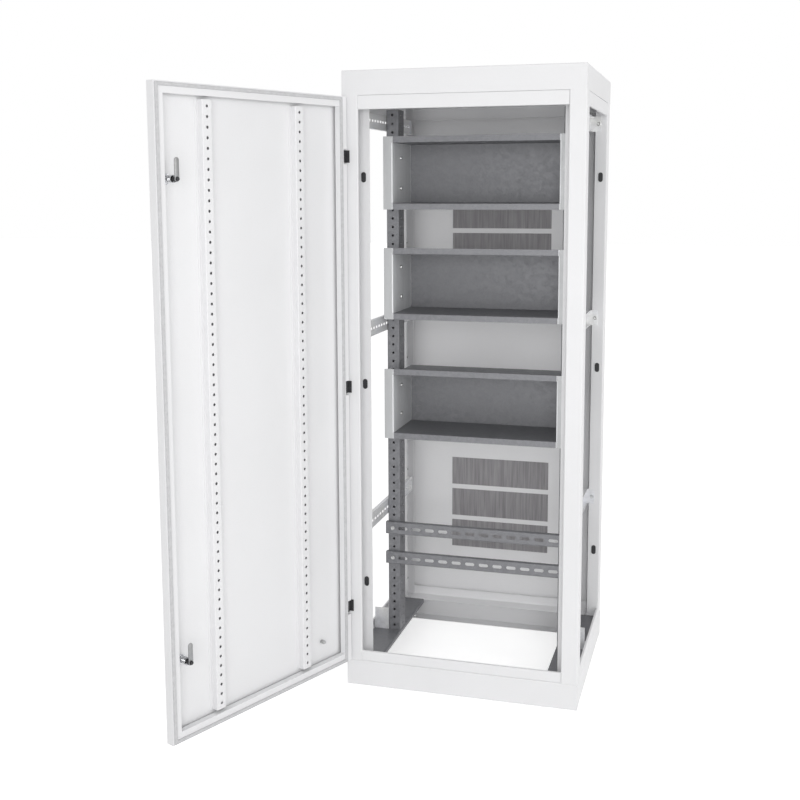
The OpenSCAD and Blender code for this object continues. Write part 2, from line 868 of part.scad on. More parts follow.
// Open tray: back, top, bottom and side plates, with lips folded outward round the front
module tray(top) {
    difference() {
        translate([0, tray_y, top - tray_h / 2]) {
            translate([-tray_x, tray_depth - tray_sheet, -tray_box_h / 2])
                cube([2 * tray_x, tray_sheet, tray_box_h]);
            for (side = [-1, 1]) {
                mirror([0, 0, side > 0 ? 0 : 1])
                    tray_deck();
                on_side(side)
                    tray_flank();
            }
        }
        for (z = tray_bolt_levels())
            for (y = tray_bolt_ys())
                translate([0, y, z])
                    rotate([0, 90, 0])
                        cylinder(h = 2 * tray_x + 2 * eps, d = bolt_hole_d, center = true);
    }
}

module tray_deck() {
    rotate([90, 0, -90])
        linear_extrude(2 * tray_x, center = true)
            tray_section(tray_box_h / 2, tray_end_lip);
}

// Side plate, its lip as high as the tray
module tray_flank() {
    rotate(-90)
        linear_extrude(tray_box_h - 2 * tray_sheet - 2 * seam_gap, center = true)
            tray_section(tray_x, tray_side_lip);
    translate([tray_x + tray_sheet, 0, -tray_h / 2])
        cube([tray_side_lip - tray_sheet, tray_sheet, tray_h]);
}

module tray_fasteners(part) {
    for (side = [-1, 1])
        on_side(side)
            for (z = tray_bolt_levels())
                for (y = tray_bolt_ys())
                    translate([tray_x - tray_sheet, y, z])
                        rotate([0, 90, 0])
                            fastener(part, tray_sheet + upright_sheet);
}

// Slotted rail across the uprights
module cross_rail(z) {
    translate([0, upright_y, z])
        difference() {
            rotate([90, 0, 90])
                linear_extrude(2 * cross_rail_half, center = true)
                    translate([0, -cross_rail_h / 2])
                        mirror([1, 0])
                            folded_section([cross_rail_depth, cross_rail_h, cross_rail_depth], [1, 1],
                                cross_rail_sheet);
            rotate([90, 0, 0])
                linear_extrude(cross_rail_depth + eps) {
                    row(cross_slots, cross_slot_step)
                        slot(cross_slot_l, cross_slot_h);
                    row(2, 2 * cross_bolt_x)
                        circle(d = bolt_hole_d);
                }
        }
}

module cross_rail_fasteners(part) {
    for (z = [lower_cross_rail_z, upper_cross_rail_z])
        translate([0, upright_y - cross_rail_depth, z])
            row(2, 2 * cross_bolt_x)
                rotate([-90, 0, 0])
                    fastener(part, cross_rail_depth + upright_sheet);
}

// Nuts on the tails of all these bolts
module nut_set() {
    strap_fasteners("nut");
    tray_fasteners("nut");
    cross_rail_fasteners("nut");
}

// Half of a hinge barrel, bored for the pin
module knuckle(bore_r) {
    difference() {
        cylinder(h = knuckle_h, r = barrel_r);
        pin_bore(bore_r);
    }
}

module pin_bore(bore_r) {
    translate([0, 0, -eps])
        cylinder(h = knuckle_h + 2 * eps, r = bore_r);
}

// Leaves on the frame: lower knuckle, arm and plate on the front of the post
module hinge_frame_leaf_set() {
    arm = front_y - hinge_y;
    for (z = hinge_levels)
        translate([hinge_x, hinge_y, z - hinge_h / 2]) {
            knuckle(pin_r + tight_fit);
            difference() {
                translate([-hinge_arm_w / 2, 0, 0])
                    cube([hinge_arm_w, arm, knuckle_h]);
                pin_bore((pin_r + barrel_r) / 2);
            }
            translate([-hinge_plate_back, arm - hinge_leaf_t, 0])
                cube([hinge_plate_back + hinge_plate_reach, hinge_leaf_t, hinge_h]);
        }
}

// Leaves on the door: upper knuckle and a plate behind the door's lip
module hinge_door_leaf_set() {
    plate_l = leaf_end_x - hinge_x;
    plate_y = hinge_sink - door_sheet - hinge_leaf_t;
    for (z = hinge_levels)
        door_swing()
            translate([hinge_x, hinge_y, z + hinge_h / 2 - knuckle_h]) {
                knuckle(pin_r + running_fit);
                difference() {
                    union() {
                        translate([0, plate_y, 0])
                            cube([plate_l, hinge_leaf_t, knuckle_h]);
                        cube([barrel_r, plate_y + hinge_leaf_t, knuckle_h]);
                    }
                    pin_bore((pin_r + barrel_r) / 2);
                }
            }
}

// Pins with their heads under the frame's leaves
module hinge_pin_set() {
    for (z = hinge_levels)
        translate([hinge_x, hinge_y, z - hinge_h / 2]) {
            translate([0, 0, -pin_head_h])
                cylinder(h = pin_head_h, r = pin_head_r);
            translate([0, 0, -eps])
                cylinder(h = hinge_h + eps, r = pin_r);
        }
}

// Swing of the door about its hinge
module door_swing() {
    translate([hinge_x, hinge_y, 0])
        rotate(-door_open)
            translate([-hinge_x, -hinge_y, 0])
                children();
}

// Door's own plane: X from hinge edge to free edge, Y up, Z outward from its inner face
module on_door() {
    door_swing()
        translate([0, door_y, door_z])
            rotate([90, 0, 0])
                children();
}

module door_shell() {
    inner_margin = door_lip - door_sheet;
    on_door()
        difference() {
            union() {
                pan(door_w, door_h, door_depth, door_sheet);
                ring(door_w - 2 * door_sheet, door_h - 2 * door_sheet, inner_margin, door_sheet);
                ring(door_w - 2 * inner_margin, door_h - 2 * inner_margin, door_sheet, door_return);
            }
            for (z = hinge_levels)
                translate([-door_w / 2 - eps,
                    z - door_z - hinge_h / 2 - hinge_notch_room - pin_head_h, -eps])
                    cube([hinge_notch_w + eps, hinge_h + 2 * hinge_notch_room + pin_head_h,
                        hinge_notch_depth + eps]);
            lock_places()
                cylinder(h = door_depth + eps, r = lock_r + bolt_play);
        }
}

module lock_places() {
    for (y = lock_levels)
        translate([lock_x, y, 0])
            children();
}

// Perforated hat section along the inside of the door
module stiffener(offset_x) {
    on_door()
        translate([offset_x, 0, skin_inner])
            rotate([-90, 0, 0])
                difference() {
                    linear_extrude(stiffener_l, center = true)
                        translate([-stiffener_w / 2 - stiffener_flange + stiffener_sheet, 0])
                            folded_section([stiffener_flange, stiffener_depth, stiffener_w,
                                stiffener_depth, stiffener_flange], [1, -1, -1, 1], stiffener_sheet);
                    rotate([0, -90, 0])
                        row(stiffener_holes, stiffener_hole_step)
                            translate([0, stiffener_depth - stiffener_sheet - eps, 0])
                                rotate([-90, 0, 0])
                                    cylinder(h = stiffener_sheet + 2 * eps, d = stiffener_hole_d);
                }
}

// Foam ring on the door's lip, set in further along the hinges
module seal_ring() {
    outer_w = door_w - seal_hinge_inset - seal_inset;
    on_door()
        translate([(seal_hinge_inset - seal_inset) / 2, 0, -seal_t])
            ring(outer_w, door_h - 2 * seal_inset, seal_w, seal_t);
}

module lock_body(y) {
    on_door()
        translate([lock_x, y, 0])
            difference() {
                union() {
                    translate([0, 0, -lock_reach])
                        cylinder(h = lock_reach + door_depth + eps, r = lock_r);
                    translate([0, 0, door_depth])
                        cylinder(h = lock_flange_t, r = lock_flange_r);
                }
                translate([0, 0, -lock_reach - eps])
                    cylinder(h = lock_reach + door_depth + lock_flange_t + 2 * eps,
                        r = spindle_r + running_fit);
            }
}

module lock_nut_set() {
    on_door()
        lock_places()
            translate([0, 0, skin_inner - lock_nut_h])
                difference() {
                    cylinder(h = lock_nut_h, d = lock_nut_af / cos(30), $fn = 6);
                    translate([0, 0, -eps])
                        cylinder(h = lock_nut_h + 2 * eps, r = lock_r + tight_fit);
                }
}

// Spindle with a triangular key recess outside, a collar behind the body and a square end
module lock_spindle(y) {
    collar_h = (cam_stand - lock_reach) / 2;
    on_door()
        translate([lock_x, y, 0])
            difference() {
                union() {
                    translate([0, 0, -cam_stand])
                        cylinder(h = cam_stand + door_depth + lock_flange_t / 2, r = spindle_r);
                    translate([0, 0, -cam_stand])
                        cylinder(h = collar_h, r = (spindle_r + lock_r) / 2);
                    translate([-spindle_square / 2, -spindle_square / 2, -cam_stand - cam_t])
                        cube([spindle_square, spindle_square, cam_t + eps]);
                }
                translate([0, 0, door_depth + lock_flange_t / 2 - key_recess])
                    cylinder(h = key_recess + eps, r = key_r, $fn = 3);
            }
}

// Cam plate on the square, upright while the lock is open, with a round end
module lock_cam(y) {
    on_door()
        translate([lock_x, y, -cam_stand - cam_t])
            linear_extrude(cam_t)
                difference() {
                    union() {
                        circle(cam_w / 2);
                        translate([-cam_w / 2, 0])
                            square([cam_w, cam_l - cam_w / 2]);
                        translate([0, cam_l - cam_w / 2])
                            circle(cam_w / 2);
                    }
                    square(spindle_square + 2 * running_fit, center = true);
                }
}

// Screw that holds the cam on its square
module lock_screw(y) {
    on_door()
        translate([lock_x, y, -cam_stand - cam_t - bolt_head_h])
            cylinder(h = bolt_head_h, d = bolt_af / cos(30), $fn = 6);
}

module door_stud() {
    on_door()
        translate([stud_x, stud_y, skin_inner - stud_l])
            cylinder(h = stud_l, d = stud_d);
}

module door_stud_nut() {
    on_door()
        translate([stud_x, stud_y, stud_nut_z - stud_d / 2])
            difference() {
                cylinder(h = stud_d, d = bolt_af / cos(30), $fn = 6);
                translate([0, 0, -eps])
                    cylinder(h = stud_d + 2 * eps, r = stud_d / 2 + tight_fit);
            }
}

// Sub-parts of the cabinet
module plinth_front() { color(paint) plinth_end(-1); }
module plinth_rear() { color(paint) plinth_end(1); }
module plinth_left() { color(paint) plinth_flank(-1); }
module plinth_right() { color(paint) plinth_flank(1); }
module front_left_post() { color(paint) post(-1, -1); }
module front_right_post() { color(paint) post(1, -1); }
module rear_left_post() { color(paint) post(-1, 1); }
module rear_right_post() { color(paint) post(1, 1); }
module front_top_rail() { color(paint) end_rail(-1, 1); }
module front_bottom_rail() { color(paint) end_rail(-1, -1); }
module rear_top_rail() { color(paint) end_rail(1, 1); }
module rear_bottom_rail() { color(paint) end_rail(1, -1); }
module left_top_rail() { color(paint) side_rail(-1, 1); }
module left_bottom_rail() { color(paint) side_rail(-1, -1); }
module right_top_rail() { color(paint) side_rail(1, 1); }
module right_bottom_rail() { color(paint) side_rail(1, -1); }
module slot_plugs() { color(black) slot_plug_set(); }
module roof() { color(paint) roof_pan(); }
module rear_panel() { color(paint) vented_panel(); }
module vent_screens() { color(mesh_grey) vent_screen_set(); }
module rear_panel_screws() { color(zinc) panel_screw_set(); }
module floor_angles() { color(zinc) floor_angle_set(); }
module left_upright() { color(zinc) upright(-1); }
module right_upright() { color(zinc) upright(1); }
module left_foot_bracket() { color(white_zinc) foot_bracket(-1); }
module right_foot_bracket() { color(white_zinc) foot_bracket(1); }
module left_lower_strap() { color(white_zinc) strap(-1, strap_levels[0]); }
module left_middle_strap() { color(white_zinc) strap(-1, strap_levels[1]); }
module left_upper_strap() { color(white_zinc) strap(-1, strap_levels[2]); }
module right_lower_strap() { color(white_zinc) strap(1, strap_levels[0]); }
module right_middle_strap() { color(white_zinc) strap(1, strap_levels[1]); }
module right_upper_strap() { color(white_zinc) strap(1, strap_levels[2]); }
module strap_bolts() { color(zinc) strap_fasteners("bolt"); }
module upper_tray() { color(zinc) tray(tray_tops[0]); }
module middle_tray() { color(zinc) tray(tray_tops[1]); }
module lower_tray() { color(zinc) tray(tray_tops[2]); }
module tray_bolts() { color(zinc) tray_fasteners("bolt"); }
module lower_cross_rail() { color(zinc) cross_rail(lower_cross_rail_z); }
module upper_cross_rail() { color(zinc) cross_rail(upper_cross_rail_z); }
module cross_rail_bolts() { color(zinc) cross_rail_fasteners("bolt"); }
module bolt_nuts() { color(zinc) nut_set(); }
module hinge_frame_leaves() { color(black) hinge_frame_leaf_set(); }
module hinge_pins() { color(zinc) hinge_pin_set(); }

// Sub-parts of the door
module hinge_door_leaves() { color(black) hinge_door_leaf_set(); }
module door_panel() { color(paint) door_shell(); }
module hinge_side_stiffener() { color(paint) stiffener(-hinge_stiffener_offset); }
module lock_side_stiffener() { color(paint) stiffener(lock_stiffener_offset); }
module door_seal() { color(rubber) seal_ring(); }
module earth_stud() { color(zinc) door_stud(); }
module earth_nut() { color(zinc) door_stud_nut(); }
module lock_nuts() { color(chrome) lock_nut_set(); }
module lower_lock_body() { color(chrome) lock_body(lock_levels[0]); }
module upper_lock_body() { color(chrome) lock_body(lock_levels[1]); }

// Sub-parts that turn in the locks
module lower_lock_spindle() { color(black) lock_spindle(lock_levels[0]); }
module upper_lock_spindle() { color(black) lock_spindle(lock_levels[1]); }
module lower_lock_cam() { color(chrome) lock_cam(lock_levels[0]); }
module upper_lock_cam() { color(chrome) lock_cam(lock_levels[1]); }
module lower_lock_screw() { color(black) lock_screw(lock_levels[0]); }
module upper_lock_screw() { color(black) lock_screw(lock_levels[1]); }

plinth_front();
plinth_rear();
plinth_left();
plinth_right();
front_left_post();
front_right_post();
rear_left_post();
rear_right_post();
front_top_rail();
front_bottom_rail();
rear_top_rail();
rear_bottom_rail();
left_top_rail();
left_bottom_rail();
right_top_rail();
right_bottom_rail();
slot_plugs();
roof();
rear_panel();
vent_screens();
rear_panel_screws();
floor_angles();
left_upright();
right_upright();
left_foot_bracket();
right_foot_bracket();
left_lower_strap();
left_middle_strap();
left_upper_strap();
right_lower_strap();
right_middle_strap();
right_upper_strap();
strap_bolts();
lower_tray();
middle_tray();
upper_tray();
tray_bolts();
lower_cross_rail();
upper_cross_rail();
cross_rail_bolts();
bolt_nuts();
hinge_frame_leaves();
hinge_pins();
hinge_door_leaves();
door_panel();
hinge_side_stiffener();
lock_side_stiffener();
door_seal();
earth_stud();
earth_nut();
lock_nuts();
lower_lock_body();
lower_lock_spindle();
lower_lock_cam();
lower_lock_screw();
upper_lock_body();
upper_lock_spindle();
upper_lock_cam();
upper_lock_screw();
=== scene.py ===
"""Looks of a floor-standing distribution cabinet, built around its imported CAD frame."""

import json
import math

import bmesh
import bpy
from bpy.props import FloatProperty, FloatVectorProperty, PointerProperty
from mathutils import Matrix, Vector


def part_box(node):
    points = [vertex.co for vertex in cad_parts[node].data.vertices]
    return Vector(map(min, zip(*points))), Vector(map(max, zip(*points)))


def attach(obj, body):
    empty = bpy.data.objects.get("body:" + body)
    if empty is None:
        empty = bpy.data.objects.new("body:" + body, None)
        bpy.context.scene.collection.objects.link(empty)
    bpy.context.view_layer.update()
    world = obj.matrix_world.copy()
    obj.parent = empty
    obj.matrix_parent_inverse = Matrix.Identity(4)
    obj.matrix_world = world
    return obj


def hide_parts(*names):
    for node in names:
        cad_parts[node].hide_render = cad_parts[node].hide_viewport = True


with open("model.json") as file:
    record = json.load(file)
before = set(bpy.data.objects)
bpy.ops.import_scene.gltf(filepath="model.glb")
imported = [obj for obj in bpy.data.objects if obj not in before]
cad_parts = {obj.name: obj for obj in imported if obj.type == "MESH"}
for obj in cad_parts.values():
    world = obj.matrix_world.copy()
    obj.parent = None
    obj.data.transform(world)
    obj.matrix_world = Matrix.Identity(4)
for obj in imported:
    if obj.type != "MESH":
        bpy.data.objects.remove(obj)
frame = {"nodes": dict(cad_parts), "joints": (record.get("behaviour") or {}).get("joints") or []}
NODES = frame["nodes"]
JOINTS = {joint["name"]: joint for joint in frame["joints"]}
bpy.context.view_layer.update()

bl_info = {
    "name": "Distribution Cabinet Looks",
    "version": (1, 0, 0),
    "blender": (4, 5, 0),
    "location": "3D View > Sidebar > Cabinet",
    "description": "Finishes, fasteners and studio for a packed sheet-steel cabinet",
    "category": "Object",
}

CARCASS = [
    "plinth_front", "plinth_rear", "plinth_left", "plinth_right",
    "front_left_post", "front_right_post", "rear_left_post", "rear_right_post",
    "front_top_rail", "front_bottom_rail", "rear_top_rail", "rear_bottom_rail",
    "left_top_rail", "left_bottom_rail", "right_top_rail", "right_bottom_rail",
    "roof", "rear_panel",
]
DOOR = ["door_panel", "hinge_side_stiffener", "lock_side_stiffener"]
TRAYS = ["upper_tray", "middle_tray", "lower_tray"]
MOUNTING = ["left_upright", "right_upright", "lower_cross_rail", "upper_cross_rail"]
STRAPS = [f"{side}_{level}_strap" for side in ("left", "right") for level in ("lower", "middle", "upper")]
BRACKETS = ["left_foot_bracket", "right_foot_bracket"]
HINGES = ["hinge_frame_leaves", "hinge_door_leaves"]
LOCKS = ["lower", "upper"]

HEX = math.cos(math.radians(30.0))
FLAT = 1e-6
SMOOTH_ANGLE = math.radians(32.0)
THREAD_STEPS = 14

# Shares of a piece's own size
THREAD_BASE = 0.9        # a thread's foot, of its pitch
THREAD_ROOT = 1.2        # how far a ridge reaches into its core, of the thread's depth
LOCK_THREAD = 0.4        # depth of a lock's thread, of its pitch
HEAD_DISH = 0.16         # rim round the dish in a hexagon head, of its key size
FLANGE_REACH = 0.72      # radius of a bolt's flange, of its key size
FLANGE_ROUND = 0.7       # rounding of that flange, of its thickness
COLLAR_REACH = 0.72      # radius of the earth stud's collar, of the stud's diameter
DOME_ROUND = 0.75        # rounding of a panel screw's head, of its height
RECESS_WIDTH = 0.24      # width of a cross recess, of its length
RECESS_DEPTH = 1.2       # height of the cutter, of the head's height
SHANK_REACH = 0.45       # radius of a panel screw's shank, of its head's
SHANK_ROOT = 0.3         # how far the shank reaches into the head, of its height
CAM_ROUND = 0.495        # rounding of a cam's ends, of its width
WIDE = 0.8               # width that counts as a screw's head, of the greatest

FLOOR_DROP = 0.0005
KEY_LIGHT = {"size": (2.6, 2.6), "place": (0.8, -5.5, 1.7), "target": (-0.1, -0.2, 1.0)}
FILL_LIGHT = {"size": (2.6, 3.0), "place": (4.9, -1.9, 2.0), "target": (-0.3, -0.4, 1.0)}
CAMERA_PLACE = (0.830, -3.939, 1.721)
CAMERA_TURN = {"yaw": 16.07, "pitch": -7.45, "roll": -0.22}
SENSOR_WIDTH = 36.0
VIEW_DEPTH = 200.0


def colour(name, description, value):
    """A colour that a user would change."""
    return FloatVectorProperty(
        name=name, description=description, subtype="COLOR", size=3, min=0.0, max=1.0, default=value)


def length(name, description, value):
    """A size in metres that a user would change."""
    return FloatProperty(name=name, description=description, subtype="DISTANCE", unit="LENGTH", min=0.0,
                         default=value)


class CabinetFinishes(bpy.types.PropertyGroup):
    """Colours of the cabinet's surfaces."""

    paint: colour("Powder coat", "Off-white coat of the carcass and the door", (0.83, 0.83, 0.84))
    galvanised: colour("Galvanised sheet", "Trays, uprights and cross rails", (0.23, 0.232, 0.243))
    # Painted light: lighter zinc on the trays' end plates, standing in for light falling on them
    tray_end_painted_light: colour("Tray ends", "Bright zinc of the trays' end plates", (0.70, 0.71, 0.72))
    bright_zinc: colour("Bright zinc", "Straps and foot brackets", (0.80, 0.80, 0.81))
    bolt_zinc: colour("Bolt zinc", "Bolts, screws and pins", (0.5, 0.5, 0.5))
    chrome: colour("Chrome", "Lock bodies and nuts", (0.36, 0.365, 0.38))
    cam_steel: colour("Cam steel", "Cams of the locks", (0.32, 0.322, 0.33))
    black: colour("Black coating", "Hinge leaves, spindles and cam screws", (0.02, 0.02, 0.022))
    # Painted shade: grey of the cloth that stands in for the dark seen through the vents
    vent_shade_grey: colour("Vent cloth", "Filter cloth behind the vents", (0.36, 0.35, 0.36))
    foam: colour("Seal foam", "Foam ring on the door", (0.60, 0.60, 0.61))


class CabinetHardware(bpy.types.PropertyGroup):
    """Sizes of the small hardware, within the envelope that the frame gives."""

    bolt_diameter: length("Bolt", "Thread diameter of the bolts", 0.006)
    bolt_across: length("Bolt key size", "Width across the flats of a flanged bolt", 0.010)
    bolt_flange: length("Bolt flange", "Thickness of the flange under a bolt's head", 0.0013)
    bolt_pitch: length("Bolt thread", "Pitch of the thread on bolts and on the earth stud", 0.0012)
    thread_depth: length("Thread depth", "Depth of the bolt thread", 0.0006)
    chamfer: length("Chamfer", "Chamfer on heads, nuts and thread ends", 0.0007)
    lock_pitch: length("Lock thread", "Pitch of the thread on a lock's barrel", 0.002)
    barrel: length("Lock barrel", "Radius of a lock's barrel", 0.011)
    seal_width: length("Seal width", "Width of the foam ring", 0.010)
    seal_round: length("Seal rounding", "Radius along the foam ring's free edges", 0.0024)
    recess_arm: length("Cross recess", "Length of the cross in a panel screw", 0.0062)


class CabinetStage(bpy.types.PropertyGroup):
    """Studio round the cabinet."""

    floor_size: length("Floor", "Side of the square floor", 60.0)
    floor_colour: colour("Floor colour", "Colour of the floor", (0.94, 0.94, 0.94))
    floor_glow: FloatProperty(
        name="Floor glow", description="Light that the camera sees on the floor, so that it reaches white",
        subtype="FACTOR", min=0.0, default=0.55)
    sky_fill: FloatProperty(
        name="Sky fill", description="Strength of the even light from all round",
        subtype="FACTOR", min=0.0, default=0.62)
    key_power: FloatProperty(
        name="Key light", description="Power of the large soft light", unit="POWER", min=0.0, default=78.0)
    fill_power: FloatProperty(
        name="Fill light", description="Power of the light from the right", unit="POWER", min=0.0, default=55.0)
    lens: FloatProperty(
        name="Lens", description="Focal length in millimetres", unit="CAMERA", min=1.0, default=51.14)
    shift: FloatProperty(
        name="Shift", description="Vertical shift of the lens", subtype="FACTOR", default=-0.08)


# Materials

class Finish:
    """One procedural material, built node by node."""

    def __init__(self, name):
        self.material = bpy.data.materials.new(name)
        self.material.use_nodes = True
        self.tree = self.material.node_tree
        self.shader = self.tree.nodes["Principled BSDF"]
        self.place = self.node("ShaderNodeTexCoord").outputs["Object"]

    def node(self, kind, **settings):
        """A new shader node."""
        made = self.tree.nodes.new(kind)
        for key, value in settings.items():
            setattr(made, key, value)
        return made

    def link(self, source, target):
        """Feed one socket from another."""
        self.tree.links.new(source, target)

    def set(self, **values):
        """Constants on the shader's own sockets."""
        for key, value in values.items():
            self.shader.inputs[key.replace("_", " ")].default_value = value

    def mapped(self, stretch):
        """Object coordinates, stretched along the axes."""
        mapping = self.node("ShaderNodeMapping")
        mapping.inputs["Scale"].default_value = stretch
        self.link(self.place, mapping.inputs["Vector"])
        return mapping.outputs["Vector"]

    def noise(self, scale, detail=2.0, roughness=0.5, place=None):
        """Cloudy noise from 0 to 1."""
        made = self.node("ShaderNodeTexNoise")
        made.inputs["Scale"].default_value = scale
        made.inputs["Detail"].default_value = detail
        made.inputs["Roughness"].default_value = roughness
        self.link(place or self.place, made.inputs["Vector"])
        return made.outputs["Fac"]

    def cells(self, scale):
        """Crystal cells: a random tone for each, and the distance from its middle."""
        made = self.node("ShaderNodeTexVoronoi")
        made.inputs["Scale"].default_value = scale
        self.link(self.place, made.inputs["Vector"])
        split = self.node("ShaderNodeSeparateColor")
        self.link(made.outputs["Color"], split.inputs["Color"])
        return split.outputs["Red"], made.outputs["Distance"]

    def bands(self, direction, scale):
        """Even stripes across a direction."""
        made = self.node("ShaderNodeTexWave", bands_direction=direction)
        made.inputs["Scale"].default_value = scale
        self.link(self.place, made.inputs["Vector"])
        return made.outputs["Fac"]

    def ramp(self, source, low, high, start=0.0, end=1.0):
        """A value turned into a range of colours."""
        made = self.node("ShaderNodeValToRGB")
        bottom, top = made.color_ramp.elements
        bottom.position, top.position = start, end
        bottom.color = (*low, 1.0)
        top.color = (*high, 1.0)
        self.link(source, made.inputs["Fac"])
        return made.outputs["Color"]

    def span(self, source, low, high, start=0.0, end=1.0):
        """A value turned into a range of numbers."""
        made = self.node("ShaderNodeMapRange")
        for key, value in (("From Min", start), ("From Max", end), ("To Min", low), ("To Max", high)):
            made.inputs[key].default_value = value
        self.link(source, made.inputs["Value"])
        return made.outputs["Result"]

    def tint(self, first, second, blend="MULTIPLY", mask=None):
        """Two colours blended, all over or where a mask says."""
        made = self.node("ShaderNodeMix", data_type="RGBA", blend_type=blend)
        made.inputs["Factor"].default_value = 1.0
        if mask:
            self.link(mask, made.inputs["Factor"])
        self.link(first, made.inputs[6])
        if isinstance(second, tuple):
            made.inputs[7].default_value = (*second, 1.0)
        else:
            self.link(second, made.inputs[7])
        return made.outputs[2]

    def axis(self, name):
        """One of the object coordinates."""
        made = self.node("ShaderNodeSeparateXYZ")
        self.link(self.place, made.inputs["Vector"])
        return made.outputs[name]

    def math(self, operation, source, value=0.0):
        """A sum on one value."""
        made = self.node("ShaderNodeMath", operation=operation)
        made.inputs[1].default_value = value
        self.link(source, made.inputs[0])
        return made.outputs[0]

    def bump(self, height, strength, distance):
        """Fine relief on the surface."""
        made = self.node("ShaderNodeBump")
        made.inputs["Strength"].default_value = strength
        made.inputs["Distance"].default_value = distance
        self.link(height, made.inputs["Height"])
        self.link(made.outputs["Normal"], self.shader.inputs["Normal"])


def shade(value, factor):
    """A colour made lighter or darker."""
    return tuple(min(1.0, part * factor) for part in value)


def powder_coat(finishes):
    """Off-white powder coat: faint clouds in the colour, fine orange peel in the surface."""
    made = Finish("powder_coat")
    clouds = made.ramp(made.noise(2.2, 3.0), shade(finishes.paint, 0.975), shade(finishes.paint, 1.02), 0.3, 0.7)
    specks = made.ramp(made.noise(420.0, 1.0), (0.97, 0.97, 0.965), (1.0, 1.0, 1.0), 0.3, 0.42)
    made.link(made.tint(clouds, specks), made.shader.inputs["Base Color"])
    made.link(made.span(made.noise(35.0, 3.0), 0.36, 0.48), made.shader.inputs["Roughness"])
    made.set(Specular_IOR_Level=0.45)
    made.bump(made.noise(520.0, 2.0), 0.06, 0.0004)
    return made.material


def galvanised(name, value):
    """Hot-dipped zinc sheet: spangle cells of slightly different grey and gloss."""
    made = Finish(name)
    tone, _ = made.cells(70.0)
    fine, _ = made.cells(190.0)
    spangle = made.ramp(tone, shade(value, 0.9), shade(value, 1.1))
    flecks = made.ramp(fine, (0.9, 0.9, 0.92), (1.0, 1.0, 1.0))
    made.zinc = made.tint(spangle, flecks)
    made.link(made.zinc, made.shader.inputs["Base Color"])
    made.link(made.span(tone, 0.42, 0.58), made.shader.inputs["Roughness"])
    made.set(Metallic=0.4)
    made.bump(made.noise(300.0, 2.0), 0.05, 0.0003)
    return made


def tray_zinc_painted_light(finishes, wall, front):
    """Galvanised tray whose two end plates carry painted light: a lighter copy of the zinc for light falling on them,
    brightest along the bend as a painted highlight.
    """
    made = galvanised("tray_zinc_painted_light", finishes.galvanised)
    across = made.math("ABSOLUTE", made.axis("X"))
    # End plates and their lips: painted light, a lighter copy of the zinc; the lips get it at 0.8
    ends = made.math("GREATER_THAN", across, wall - 0.002)
    lips = made.math("GREATER_THAN", across, wall + 0.0025)
    # Painted highlight along the front bend: the end plates' colour is 1.25 times lighter at the front edge, fading
    # back over 45 mm
    depth = made.span(made.axis("Y"), 0.0, 1.0, front, front + 0.045)
    streaks = made.ramp(made.noise(45.0, 3.0, 0.6, made.mapped((1.0, 1.0, 0.08))),
                        (0.9, 0.9, 0.9), (1.0, 1.0, 1.0), 0.3, 0.7)
    lit_walls_and_bend_highlight = made.ramp(depth, shade(finishes.tray_end_painted_light, 1.25), finishes.tray_end_painted_light)
    painted_light_ends = made.tint(made.tint(lit_walls_and_bend_highlight, shade(finishes.tray_end_painted_light, 0.8), "MIX", lips), streaks)
    made.link(made.tint(made.zinc, painted_light_ends, "MIX", ends), made.shader.inputs["Base Color"])
    made.link(made.span(ends, 0.4, 0.15), made.shader.inputs["Metallic"])
    return made.material


def zinc_plate(name, value, rough, metallic):
    """Bright zinc plate with short brushed streaks and a faint bluish drift."""
    made = Finish(name)
    streaks = made.noise(60.0, 4.0, 0.6, made.mapped((1.0, 0.06, 1.0)))
    drift = made.noise(9.0, 2.0)
    grey = made.ramp(streaks, shade(value, 0.86), shade(value, 1.12), 0.25, 0.75)
    blue = made.ramp(drift, (0.97, 0.98, 1.0), (1.0, 1.0, 0.97), 0.35, 0.65)
    made.link(made.tint(grey, blue), made.shader.inputs["Base Color"])
    made.link(made.span(streaks, rough - 0.07, rough + 0.08), made.shader.inputs["Roughness"])
    made.set(Metallic=metallic)
    made.bump(streaks, 0.04, 0.0003)
    return made.material


def chrome(finishes):
    """Nickel-chrome with fine polishing marks."""
    made = Finish("chrome")
    marks = made.noise(240.0, 3.0, 0.6, made.mapped((1.0, 1.0, 0.12)))
    made.link(made.ramp(marks, shade(finishes.chrome, 0.9), shade(finishes.chrome, 1.08), 0.3, 0.7),
              made.shader.inputs["Base Color"])
    made.link(made.span(marks, 0.1, 0.24), made.shader.inputs["Roughness"])
    made.set(Metallic=1.0)
    made.bump(marks, 0.03, 0.0002)
    return made.material


def black_coat(finishes):
    """Black die-cast coating with a grainy surface and slightly rubbed patches."""
    made = Finish("black_coat")
    rubbed = made.noise(90.0, 4.0, 0.6)
    made.link(made.ramp(rubbed, finishes.black, shade(finishes.black, 2.2), 0.45, 0.8),
              made.shader.inputs["Base Color"])
    made.link(made.span(rubbed, 0.42, 0.58), made.shader.inputs["Roughness"])
    made.bump(made.noise(900.0, 2.0), 0.2, 0.0003)
    return made.material


def seal_foam(finishes):
    """Closed-cell foam: open-looking pores and a soft, uneven grey."""
    made = Finish("seal_foam")
    _, pores = made.cells(700.0)
    made.link(made.ramp(made.noise(90.0, 3.0), shade(finishes.foam, 0.93), shade(finishes.foam, 1.06), 0.3, 0.7),
              made.shader.inputs["Base Color"])
    made.set(Roughness=0.9, Specular_IOR_Level=0.2)
    made.bump(pores, 0.5, 0.0006)
    return made.material


